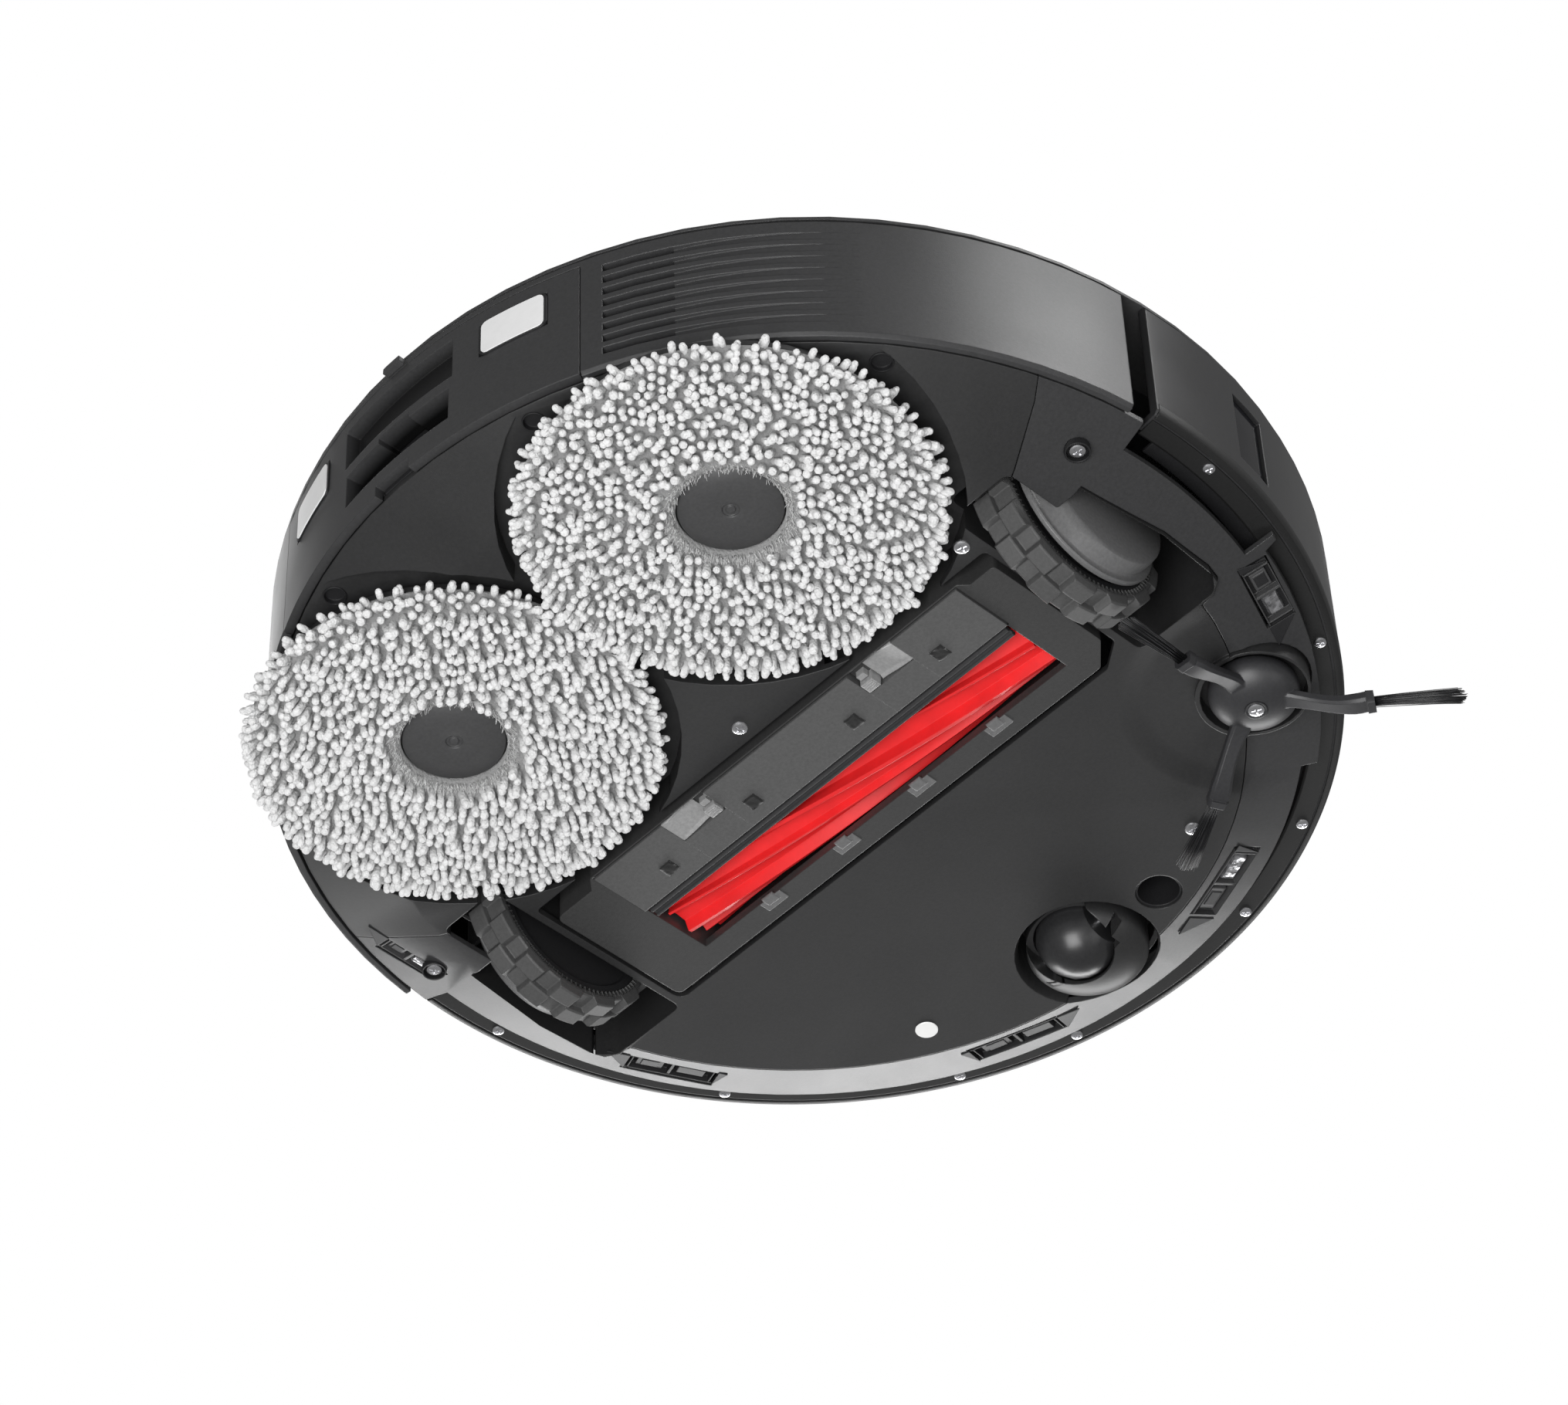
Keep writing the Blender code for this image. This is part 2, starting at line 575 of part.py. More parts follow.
def soften(obj, width, segments=2):
    """Rounds an object's edges."""
    edge = obj.modifiers.new("soft edges", "BEVEL")
    edge.width = width
    edge.segments = segments
    return obj


def scraper_strip():
    box("scraper_strip", (MOUTH_X[0] + 0.0010, -0.0072, UNDER - 0.0024),
        (MOUTH_X[1] - 0.0010, MOUTH_Y[1] - 0.0006, UNDER - 0.0006), RUBBER)


def main_brush():
    """The red roller: six fins that wind a sixth of a turn along its length."""
    fins, layers = 6, 12
    start, end = MOUTH_X[0] + 0.0015, MOUTH_X[1] - 0.0015
    core_r, base_half, tip_half = 0.0138, math.radians(9), math.radians(4)
    outline = []
    for fin in range(fins):
        a = math.tau * fin / fins
        outline += [(core_r, a - base_half), (ROLLER_R, a - tip_half), (ROLLER_R, a + tip_half),
                    (core_r, a + base_half), (core_r, a + math.pi / fins)]
    bm = bmesh.new()
    rings = []
    for layer in range(layers + 1):
        x = start + (end - start) * layer / layers
        turn = math.radians(62) * layer / layers
        rings.append([bm.verts.new((x, r * math.cos(a + turn), r * math.sin(a + turn)))
                      for r, a in outline])
    bm.faces.new(rings[0])
    bm.faces.new(rings[-1])
    for near, far in zip(rings, rings[1:]):
        for i in range(len(outline)):
            j = (i + 1) % len(outline)
            bm.faces.new((near[i], near[j], far[j], far[i]))
    bmesh.ops.recalc_face_normals(bm, faces=bm.faces)
    brush = from_bmesh("main_brush", bm, RED, (0.0, ROLLER_Y, ROLLER_Z))
    fuse(brush, rod("brush_stub", 0.0060, (start + 0.001, ROLLER_Y, ROLLER_Z),
                    (start - 0.0035, ROLLER_Y, ROLLER_Z), segments=20))
    fuse(brush, rod("brush_drive", 0.0050, (end - 0.001, ROLLER_Y, ROLLER_Z),
                    (end + 0.0065, ROLLER_Y, ROLLER_Z), segments=6))
    bearing = rod("brush_bearing", 0.0077, (-0.0985, ROLLER_Y, ROLLER_Z),
                  (start - 0.0004, ROLLER_Y, ROLLER_Z), GREY, segments=24)
    cut(bearing, rod("bearing_bore", 0.0063, (start - 0.0040, ROLLER_Y, ROLLER_Z),
                     (start + 0.0010, ROLLER_Y, ROLLER_Z), segments=20))
    return brush


# ---- drive wheels ------------------------------------------------------------------------
def drive_wheel(side):
    """One drive module: tyre, wheel, swing arm with the gearbox, and its torsion spring."""
    name = side_name(side)
    axis = Matrix.Rotation(side * math.pi / 2, 4, "Y")
    centre = Vector((side * (WHEEL_X0 + WHEEL_X1) / 2, WHEEL_Y, WHEEL_Z))
    half = (WHEEL_X1 - WHEEL_X0) / 2
    tyre = turned("tyre_" + name, [
        (0.0318, half), (WHEEL_R, half), (WHEEL_R, -half), (0.0318, -half)],
        RUBBER, steps=56, closed=True)
    wheel = turned("wheel_" + name, [
        (0.0, half - 0.0008), (0.0314, half - 0.0008), (0.0314, -half + 0.0008),
        (0.0, -half + 0.0008)], GREY, steps=40)
    for piece in (tyre, wheel):
        piece.matrix_world = Matrix.Translation(centre) @ axis

    py, pz = ARM_PIVOT
    x0, x1 = 0.1283, 0.1322
    arm = rod("swing_arm_" + name, 0.0290, (side * x0, WHEEL_Y, WHEEL_Z),
              (side * x1, WHEEL_Y, WHEEL_Z), GREY, segments=32)
    arm.data.transform(Matrix.Translation(arm.location - Vector((0, py, pz))))
    arm.location = (0.0, py, pz)
    fuse(arm, plate_x("arm_web_" + name, side, [
        (WHEEL_Y - 0.010, WHEEL_Z + 0.026), (WHEEL_Y, WHEEL_Z - 0.010), (py + 0.001, pz - 0.0055),
        (py + 0.0040, pz), (py, pz + 0.0055)], x0 + 0.0002, x1 - 0.0002))
    fuse(arm, plate_x("gearbox_" + name, side, [
        (WHEEL_Y - 0.0285, WHEEL_Z - 0.0080), (WHEEL_Y - 0.0200, WHEEL_Z - 0.0170),
        (WHEEL_Y + 0.0080, WHEEL_Z - 0.0170), (WHEEL_Y + 0.0120, WHEEL_Z - 0.0100),
        (WHEEL_Y + 0.0120, WHEEL_Z + 0.0230), (WHEEL_Y - 0.0200, WHEEL_Z + 0.0230),
        (WHEEL_Y - 0.0285, WHEEL_Z + 0.0150)], x1 - 0.0005, 0.1425))
    cut(arm, rod("pin_bore_" + name, 0.0023, (side * 0.12, py, pz), (side * 0.14, py, pz),
                 segments=20))
    pin = rod("arm_pin_" + name, 0.0020, (side * 0.1093, py, pz), (side * 0.1332, py, pz),
              STEEL, segments=20)
    fuse(pin, rod("spring_coil_" + name, 0.0052, (side * 0.1232, py, pz),
                  (side * 0.1280, py, pz), segments=24))
    return pin


def plate_x(name, side, outline, x0, x1):
    """An outline of (y, z) points, extruded along X from x0 to x1 on the given side."""
    bm = bmesh.new()
    near = [bm.verts.new((side * x0, y, z)) for y, z in outline]
    far = [bm.verts.new((side * x1, y, z)) for y, z in outline]
    bm.faces.new(near)
    bm.faces.new(far)
    bmesh.ops.bridge_loops(bm, edges=[e for e in bm.edges])
    bmesh.ops.recalc_face_normals(bm, faces=bm.faces)
    return from_bmesh(name, bm)


# ---- caster ------------------------------------------------------------------------------
def caster():
    """The front caster: a domed holder that swivels and a barrel wheel that trails it."""
    rim_r, rim_z = 0.0205, UNDER + 0.0020
    rise = 0.0082
    ball = (rim_r ** 2 + rise ** 2) / (2 * rise)
    dome = []
    for i in range(6):
        r = rim_r * (1 - i / 5)
        dome.append((r, rim_z - math.sqrt(ball ** 2 - r ** 2) + ball - rise))
    profile = [(0.0, UNDER + 0.0275), (0.0040, UNDER + 0.0275), (0.0040, UNDER + 0.0205),
               (rim_r, UNDER + 0.0205)] + dome
    holder = turned("caster_holder", profile, CHARCOAL, centre=(0.0, CASTER_Y), steps=32,
                    base=UNDER)
    y = CASTER_Y + CASTER_TRAIL
    cut(holder, rod("wheel_pocket", 0.0150, (0, y, UNDER - 0.02), (0, y, CASTER_Z + 0.0150),
                    segments=32))
    cut(holder, rod("axle_bore", 0.0018, (-0.03, y, CASTER_Z), (0.03, y, CASTER_Z),
                    segments=16))
    rod("caster_axle", 0.0015, (-0.0182, y, CASTER_Z), (0.0182, y, CASTER_Z), STEEL,
        segments=16)
    width = 0.0112
    tread = []
    for i in range(7):
        x = width * (1 - i / 3)
        tread.append((math.sqrt(CASTER_R ** 2 - x ** 2), x))
    wheel = turned("caster_wheel", [(0.0018, width)] + tread + [(0.0018, -width)], GREY,
                   steps=28, closed=True)
    wheel.matrix_world = Matrix.Translation((0, y, CASTER_Z)) @ Matrix.Rotation(
        math.pi / 2, 4, "Y")


# ---- side brush --------------------------------------------------------------------------
def side_brush():
    """Three-armed edge brush: domed hub, moulded arms and a bristle tuft in each arm's clip."""
    crown = UNDER - 0.0075
    rim = UNDER + 0.0006
    hub_r = 0.0148
    dome = [(hub_r * math.cos(t), rim - (rim - crown) * math.sin(t))
            for t in (math.radians(90 * i / 4) for i in range(5))]
    profile = [(0.0, UNDER + 0.0130), (0.0038, UNDER + 0.0130), (0.0038, UNDER + 0.0036),
               (hub_r, UNDER + 0.0036)] + dome[:-1] + [(0.0, crown)]
    hub = turned("side_brush", profile, CHARCOAL, centre=SIDE_BRUSH[:2], steps=28, base=UNDER)
    cut(hub, rod("screw_seat", 0.0036, SIDE_BRUSH + Vector((0, 0, crown - 0.002)),
                 SIDE_BRUSH + Vector((0, 0, crown + 0.0016)), segments=20))
    for index in range(3):
        turn = SIDE_BRUSH_TURN + math.tau * index / 3
        arm = tapered_bar("brush_arm_%d" % index, turn, 0.0080, SIDE_ARM_R,
                          (0.0100, 0.0022), (0.0082, 0.0046), UNDER - 0.0030, UNDER - 0.0120)
        fuse(hub, arm)
        tapered_bar("bristle_tuft_%d" % (index + 1), turn, SIDE_ARM_R + FIT, SIDE_TUFT_R,
                    (0.0046, 0.0024), (0.0090, 0.0016), UNDER - 0.0124, UNDER - 0.0162, NYLON)


def tapered_bar(name, turn, r0, r1, size0, size1, z0, z1, mat=None):
    """A bar that runs out from the side brush's axis, each end with its own width and depth."""
    bm = bmesh.new()
    bmesh.ops.create_cube(bm, size=2.0)
    for vert in bm.verts:
        outer = vert.co.x > 0
        width, depth = size1 if outer else size0
        vert.co = Vector((r1 if outer else r0, vert.co.y * width / 2,
                          (z1 if outer else z0) + vert.co.z * depth / 2))
    bmesh.ops.rotate(bm, matrix=Matrix.Rotation(turn, 3, "Z"), verts=bm.verts)
    return from_bmesh(name, bm, mat, SIDE_BRUSH)


# ---- mops --------------------------------------------------------------------------------
def mop(side):
    """One mop: plate on a drive shaft, the lifting sleeve round it, looped pad and cap."""
    name = side_name(side)
    centre = (side * MOP_X, MOP_Y)
    turned("mop_plate_" + name, [
        (0.0, UNDER + 0.0300), (0.0055, UNDER + 0.0300), (0.0055, UNDER + 0.0062),
        (0.0638, UNDER + 0.0062), (0.0642, UNDER + 0.0036), (0.0, UNDER + 0.0036)],
        CHARCOAL, centre=centre, steps=40, base=UNDER)
    turned("mop_sleeve_" + name, [
        (0.0058, UNDER + 0.0300), (0.0070, UNDER + 0.0300), (0.0070, UNDER + 0.0130),
        (0.0058, UNDER + 0.0130)], GREY, centre=centre, steps=24, closed=True, base=UNDER)
    turned("mop_pad_" + name, [
        (0.0176, UNDER + 0.0033), (MOP_R, UNDER + 0.0033), (MOP_R, UNDER - 0.0050),
        (0.0176, UNDER - 0.0050)], PALE, centre=centre, steps=56, closed=True, base=UNDER)
    turned("mop_cap_" + name, [
        (0.0, UNDER + 0.0033), (0.0168, UNDER + 0.0033), (0.0168, UNDER + 0.0012),
        (0.0, UNDER + 0.0012)], CHARCOAL, centre=centre, steps=32, base=UNDER)


# ---- top: deck, lid, buttons and laser turret --------------------------------------------
def half_disc(radius, rear):
    """The front part of a disc, cut off at y = rear."""
    end = math.degrees(math.asin(rear / radius))
    return circle(0.0, 0.0, radius, 180 - end, 360 + end, 36)


def top():
    deck = turned("top_deck", [
        (0.0, DECK_Z1), (0.1715, DECK_Z1), (0.1738, DECK_Z1 - 0.0015),
        (0.1738, DECK_Z0), (0.0, DECK_Z0)], GRAPHITE)
    cut(deck, plate("lid_hole", half_disc(LID_R + 0.0005, LID_Y + 0.0005), 0.0, 0.2))
    plate("bin_lid", half_disc(LID_R, LID_Y), DECK_Z0 + 0.0002, DECK_Z1 - 0.0002,
          CHARCOAL, base=(0.0, LID_Y))
    for name, x in (("power_button", -0.016), ("home_button", 0.016)):
        cut(deck, rod(name + "_hole", 0.0065, (x, -0.1550, 0.0), (x, -0.1550, 0.2)))
        rod(name, 0.0060, (x, -0.1550, DECK_Z0 + 0.0002),
            (x, -0.1550, DECK_Z1 + 0.0006), GREY)
    turret()


def turret():
    """The laser turret: a base with three posts, the spinning head and the fixed cap."""
    base = turned("turret_base", [
        (0.0, DECK_Z1 + 0.0044), (0.0390, DECK_Z1 + 0.0044), (TURRET_R, DECK_Z1 + FIT),
        (0.0, DECK_Z1 + FIT)], CHARCOAL,
        centre=(0.0, TURRET_Y), steps=40)
    cut(base, rod("spindle_seat", 0.0075, (0, TURRET_Y, DECK_Z1 + 0.0015),
                  (0, TURRET_Y, 0.2), segments=24))
    top_z = DECK_Z1 + 0.0148
    for post in range(3):
        x, y = polar(0.0350, 60 + 120 * post)
        fuse(base, rod("turret_post_%d" % post, 0.0022, (x, TURRET_Y + y, DECK_Z1 + 0.003),
                       (x, TURRET_Y + y, top_z), segments=12))
    turned("turret_rotor", [
        (0.0, top_z - 0.0006), (0.0300, top_z - 0.0006), (0.0300, DECK_Z1 + 0.0048),
        (0.0065, DECK_Z1 + 0.0048), (0.0065, DECK_Z1 + 0.0020), (0.0, DECK_Z1 + 0.0020)],
        GLOSS, centre=(0.0, TURRET_Y), steps=28, base=DECK_Z1)
    turned("turret_cap", [
        (0.0, top_z + 0.0034), (0.0380, top_z + 0.0034), (0.0402, top_z + FIT),
        (0.0, top_z + FIT)],
        GRAPHITE, centre=(0.0, TURRET_Y), steps=40, base=top_z)


# ---- inside ------------------------------------------------------------------------------
def inside():
    """Working parts in the body: drives, fan, dust bin, battery and control board."""
    rod("side_brush_motor", 0.0135, SIDE_BRUSH + Vector((0, 0, UNDER + 0.0134)),
        SIDE_BRUSH + Vector((0, 0, UNDER + 0.0420)), GREY, segments=24)
    rod("brush_motor", 0.0120, (0.0480, -0.0560, UNDER + 0.0200), (0.0990, -0.0560, UNDER + 0.0200),
        STEEL, segments=24)
    gearbox = box("mop_gearbox", (-0.0820, 0.0780, UNDER + 0.0126),
                  (0.0820, 0.1090, UNDER + 0.0330), GREY)
    for side in (1, -1):
        cut(gearbox, rod("gearbox_bore_" + side_name(side), 0.0076,
                         (side * MOP_X, MOP_Y, UNDER), (side * MOP_X, MOP_Y, UNDER + 0.0310),
                         segments=24))
    rod("suction_fan", 0.0300, (-0.0550, 0.0480, UNDER + 0.0440), (-0.0550, 0.0480, UNDER + 0.0640),
        GREY, segments=28)
    box("battery_pack", (-0.0180, 0.0270, UNDER + 0.0350), (0.0900, 0.0960, UNDER + 0.0600), CELL)
    box("main_board", (-0.0600, 0.1150, UNDER + 0.0380), (0.0600, 0.1500, UNDER + 0.0396), BOARD)
    bin_shell = box("dust_bin", (-0.0850, -0.1000, UNDER + 0.0050),
                    (0.0420, -0.0420, UNDER + 0.0640), SMOKE)
    cut(bin_shell, box("bin_hollow", (-0.0830, -0.0980, UNDER + 0.0070),
                       (0.0400, -0.0440, UNDER + 0.0620)))
    cut(bin_shell, box("bin_inlet", (-0.0300, -0.0450, UNDER + 0.0440),
                       (0.0200, -0.0400, UNDER + 0.0600)))


base_pan()
underside_trim()
cliff_windows()
rear_shell()
rear_panel()
contacts()
bumper()
bumper_windows()
brush_housing()
brush_cover()
scraper_strip()
main_brush()
for side in (1, -1):
    drive_wheel(side)
    mop(side)
caster()
side_brush()
top()
inside()
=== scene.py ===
import math
import random

import bmesh
import bpy
from mathutils import Matrix, Vector


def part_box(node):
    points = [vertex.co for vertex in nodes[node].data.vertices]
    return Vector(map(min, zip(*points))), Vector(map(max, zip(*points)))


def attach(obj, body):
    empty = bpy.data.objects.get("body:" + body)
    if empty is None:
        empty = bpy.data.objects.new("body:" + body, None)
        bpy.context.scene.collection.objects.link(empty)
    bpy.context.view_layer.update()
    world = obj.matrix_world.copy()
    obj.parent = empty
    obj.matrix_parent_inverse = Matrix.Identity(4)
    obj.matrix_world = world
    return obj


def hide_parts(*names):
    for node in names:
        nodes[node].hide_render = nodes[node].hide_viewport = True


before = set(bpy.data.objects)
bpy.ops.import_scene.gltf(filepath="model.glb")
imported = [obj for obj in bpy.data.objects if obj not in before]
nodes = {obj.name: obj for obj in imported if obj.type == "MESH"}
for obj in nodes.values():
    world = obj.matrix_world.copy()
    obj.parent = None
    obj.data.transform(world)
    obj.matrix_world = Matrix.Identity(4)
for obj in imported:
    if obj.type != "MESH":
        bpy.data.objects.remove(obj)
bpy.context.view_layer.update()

scene = bpy.context.scene
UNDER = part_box("base_pan")[0].z       # height of the flat underside

# ---- camera and studio -----------------------------------------------------------------------
# The robot is seen from below and behind its right side, held over a white studio. The floor
# shows only from above, so it never hides the underside. The place and turn of the camera
# were fitted to the picture.
AMBIENT = 0.21           # strength of the white surroundings as a light
FLOOR_REACH = 4.0        # half the side of the studio floor
eye = bpy.data.objects.new("camera", bpy.data.cameras.new("camera"))
scene.collection.objects.link(eye)
eye.data.lens = 120.718
eye.data.sensor_width = 36.0
eye.data.clip_end = 20.0
eye.location = (-0.83939, 0.83287, -1.20008)
eye.rotation_mode = "QUATERNION"
eye.rotation_quaternion = (-0.13622, -0.376714, 0.84938, 0.343635)
scene.camera = eye
scene.view_settings.view_transform = "Standard"


def set_inputs(node, sockets):
    """Sets a node's inputs by name, and returns the node."""
    for key, value in sockets.items():
        node.inputs[key.replace("_", " ")].default_value = value
    return node


def add(tree, kind, **sockets):
    """A node, with its inputs set by name."""
    return set_inputs(tree.nodes.new(kind), sockets)


def wire(tree, *links):
    """Links, each given as a node and its output, and a node and its input."""
    for source, output, target, socket in links:
        tree.links.new(source.outputs[output], target.inputs[socket])


def softbox(name, place, size, power):
    """A rectangular lamp that faces the robot."""
    lamp = bpy.data.objects.new(name, bpy.data.lights.new(name, "AREA"))
    scene.collection.objects.link(lamp)
    lamp.data.shape = "RECTANGLE"
    lamp.data.size, lamp.data.size_y = size
    lamp.data.energy = power
    lamp.location = place
    aim = Vector((0.0, 0.0, 0.05)) - Vector(place)
    lamp.rotation_euler = aim.to_track_quat("-Z", "Y").to_euler()


softbox("key_below", (-0.5, 1.1, -1.5), (1.3, 1.3), 44)
softbox("fill_below", (-1.6, -0.3, -1.2), (1.2, 0.9), 4)
softbox("edge_front", (1.7, -1.6, -0.30), (2.4, 0.55), 35)
softbox("side_above", (-1.95, -0.32, 1.6), (1.1, 1.0), 31)
softbox("top_above", (0.9, -0.6, 2.2), (1.8, 1.8), 30)

studio = bpy.data.worlds.new("studio")
scene.world = studio
studio.use_nodes = True
air = studio.node_tree
air.nodes.clear()
seen = add(air, "ShaderNodeLightPath")
white = add(air, "ShaderNodeBackground", Color=(1.0, 1.0, 1.0, 1.0))
dim = add(air, "ShaderNodeBackground", Color=(1.0, 1.0, 1.0, 1.0), Strength=AMBIENT)
pick = add(air, "ShaderNodeMixShader")
sky = add(air, "ShaderNodeOutputWorld")
wire(air, (seen, "Is Camera Ray", pick, 0), (dim, 0, pick, 1), (white, 0, pick, 2),
     (pick, 0, sky, 0))

floor_mesh = bpy.data.meshes.new("studio_floor")
floor_mesh.from_pydata([(x * FLOOR_REACH, y * FLOOR_REACH, 0)
                        for x, y in ((-1, -1), (1, -1), (1, 1), (-1, 1))], [], [(0, 1, 2, 3)])
studio_floor = bpy.data.objects.new("studio_floor", floor_mesh)
scene.collection.objects.link(studio_floor)
paper = bpy.data.materials.new("pale_floor")
paper.use_nodes = True
tree = paper.node_tree
sheet_shader = set_inputs(tree.nodes["Principled BSDF"],
                          {"Base Color": (0.86, 0.86, 0.86, 1.0), "Roughness": 0.9})
clear = add(tree, "ShaderNodeBsdfTransparent")
side = add(tree, "ShaderNodeNewGeometry")
switch = add(tree, "ShaderNodeMixShader")
wire(tree, (side, "Backfacing", switch, 0), (sheet_shader, 0, switch, 1),
     (clear, 0, switch, 2), (switch, 0, tree.nodes["Material Output"], "Surface"))
floor_mesh.materials.append(paper)
studio_floor.visible_shadow = False
studio_floor.visible_diffuse = False
studio_floor.visible_glossy = False

# ---- moulded housings: pan, side wall, bumper, band and covers -----------------------------
# Injection-moulded ABS with a fine spark-eroded grain, joined by screws from below. Edges
# carry a small moulded radius, and the grain breaks up the shine.


def shader_of(name, **sockets):
    """A new material with its tree and its shader."""
    mat = bpy.data.materials.new(name)
    mat.use_nodes = True
    tree = mat.node_tree
    return mat, tree, set_inputs(tree.nodes["Principled BSDF"], sockets)


def grain_colour(tree, shader, colour, spread, scale):
    """Base colour that wanders a little about its middle value."""
    place = add(tree, "ShaderNodeTexCoord")
    noise = add(tree, "ShaderNodeTexNoise", Scale=scale, Detail=3.0, Roughness=0.6)
    ramp = add(tree, "ShaderNodeValToRGB")
    for stop, position, share in zip(ramp.color_ramp.elements, (0.3, 0.7),
                                     (1 - spread, 1 + spread)):
        stop.position = position
        stop.color = (*[c * share for c in colour], 1.0)
    wire(tree, (place, "Object", noise, "Vector"), (noise, "Fac", ramp, "Fac"),
         (ramp, "Color", shader, "Base Color"))
    return place


def moulded(name, colour, rough, grain=0.12, edge=0.0005):
    """Grained plastic with softly rounded edges."""
    mat, tree, shader = shader_of(name)
    place = grain_colour(tree, shader, colour, 0.12, 900.0)
    cloud = add(tree, "ShaderNodeTexNoise", Scale=35.0, Detail=2.0)
    sheen = add(tree, "ShaderNodeMapRange", To_Min=rough - 0.05, To_Max=rough + 0.05)
    texture = add(tree, "ShaderNodeTexNoise", Scale=2600.0, Detail=2.0)
    bump = add(tree, "ShaderNodeBump", Strength=grain, Distance=0.0002)
    round_edge = add(tree, "ShaderNodeBevel", Radius=edge)
    round_edge.samples = 4
    wire(tree, (place, "Object", cloud, "Vector"), (cloud, "Fac", sheen, "Value"),
         (sheen, "Result", shader, "Roughness"), (place, "Object", texture, "Vector"),
         (texture, "Fac", bump, "Height"), (round_edge, "Normal", bump, "Normal"),
         (bump, "Normal", shader, "Normal"))
    return mat


def new_group(name, *sockets):
    """A Geometry Nodes tree with its sockets, and its input and output nodes."""
    group = bpy.data.node_groups.new(name, "GeometryNodeTree")
    for label, way, kind, value in sockets:
        socket = group.interface.new_socket(label, in_out=way, socket_type="NodeSocket" + kind)
        if value is not None:
            socket.default_value = value
    return group, add(group, "NodeGroupInput"), add(group, "NodeGroupOutput")


SMOOTH_ANGLE = "Smooth below"


def smooth_tree():
    """Nodes that join a moulded piece's loose triangles and smooth all but its real edges."""
    group, start, end = new_group(
        "moulded_surface", ("Piece", "INPUT", "Geometry", None),
        (SMOOTH_ANGLE, "INPUT", "Float", math.radians(28)), ("Piece", "OUTPUT", "Geometry", None))
    weld = add(group, "GeometryNodeMergeByDistance", Distance=0.00001)
    bend = group.nodes.new("GeometryNodeInputMeshEdgeAngle")
    over = group.nodes.new("FunctionNodeCompare")
    over.operation = "GREATER_THAN"
    faces = group.nodes.new("GeometryNodeSetShadeSmooth")
    edges = group.nodes.new("GeometryNodeSetShadeSmooth")
    edges.domain = "EDGE"
    edges.inputs["Shade Smooth"].default_value = False
    wire(group, (start, "Piece", weld, "Geometry"), (weld, "Geometry", faces, "Geometry"),
         (faces, "Geometry", edges, "Geometry"), (bend, "Unsigned Angle", over, "A"),
         (start, SMOOTH_ANGLE, over, "B"), (over, "Result", edges, "Selection"),
         (edges, "Geometry", end, "Piece"))
    return group


surface_nodes = smooth_tree()


def dress(names, mat):
    """Gives CAD pieces their finish and their smooth surface."""
    for name in names:
        piece = nodes[name]
        for spot in piece.material_slots:
            spot.material = mat
        piece.modifiers.new("moulded surface", "NODES").node_group = surface_nodes


pan_plastic = moulded("pan_charcoal", (0.022, 0.022, 0.0224), 0.40)
wall_plastic = moulded("wall_charcoal", (0.038, 0.038, 0.039), 0.38, edge=0.0006)
trim_plastic = moulded("trim_graphite", (0.033, 0.033, 0.034), 0.32)
bumper_plastic = moulded("bumper_black", (0.026, 0.026, 0.027), 0.30, edge=0.0007)
lip_plastic = moulded("lip_black", (0.010, 0.010, 0.010), 0.42, edge=0.0004)
housing_plastic = moulded("housing_graphite", (0.036, 0.036, 0.036), 0.40, grain=0.2)
deck_plastic = moulded("deck_graphite", (0.046, 0.046, 0.047), 0.36)
dark_plastic = moulded("inner_black", (0.012, 0.012, 0.013), 0.5)
dress(["base_pan"], pan_plastic)
dress(["rear_shell"], wall_plastic)

# painted shade: the rear panel's colour darkens inside its outer skin, so that its hollows show
# dark
panel_plastic = moulded("panel_charcoal", (0.038, 0.038, 0.039), 0.38, edge=0.0006)


def darken(mat, factor):
    """Multiplies a material's colour by a value between 0 and 1."""
    tree = mat.node_tree
    shader = next(n for n in tree.nodes if n.type == "BSDF_PRINCIPLED")
    source = shader.inputs["Base Color"].links[0].from_socket
    blend = tree.nodes.new("ShaderNodeMix")
    blend.data_type = "RGBA"
    blend.blend_type = "MULTIPLY"
    blend.inputs[0].default_value = 1.0
    # a mix node's colours are its inputs 6 and 7 and its output 2
    tree.links.new(source, blend.inputs[6])
    tree.links.new(factor, blend.inputs[7])
    tree.links.new(blend.outputs[2], shader.inputs["Base Color"])


tree = panel_plastic.node_tree
place = add(tree, "ShaderNodeTexCoord")
flat = tree.nodes.new("ShaderNodeVectorMath")
flat.operation = "MULTIPLY"
flat.inputs[1].default_value = (1.0, 1.0, 0.0)
size = tree.nodes.new("ShaderNodeVectorMath")
size.operation = "LENGTH"
# painted shade: full colour at the surface, nearly black deep inside the skin
painted_recess_shade = add(tree, "ShaderNodeMapRange", From_Min=0.1690, From_Max=0.1738, To_Min=0.04, To_Max=1.0)
wire(tree, (place, "Object", flat, 0), (flat, 0, size, 0), (size, "Value", painted_recess_shade, "Value"))
darken(panel_plastic, painted_recess_shade.outputs["Result"])
dress(["rear_panel"], panel_plastic)

dress(["underside_trim"], trim_plastic)
dress(["bumper"], bumper_plastic)
dress(["brush_housing"], housing_plastic)
dress(["top_deck", "bin_lid", "turret_base", "turret_cap"], deck_plastic)

# ---- smoked windows: floor sensors, wall sensor, front window and laser head --------------
# Polished polycarbonate that looks black but lets infrared light through.
window_mat, tree, shader = shader_of("smoked_window", Roughness=0.10, Specular_IOR_Level=0.35)
grain_colour(tree, shader, (0.008, 0.008, 0.010), 0.3, 60.0)
dress(["wall_sensor_window", "front_window", "turret_rotor"], window_mat)

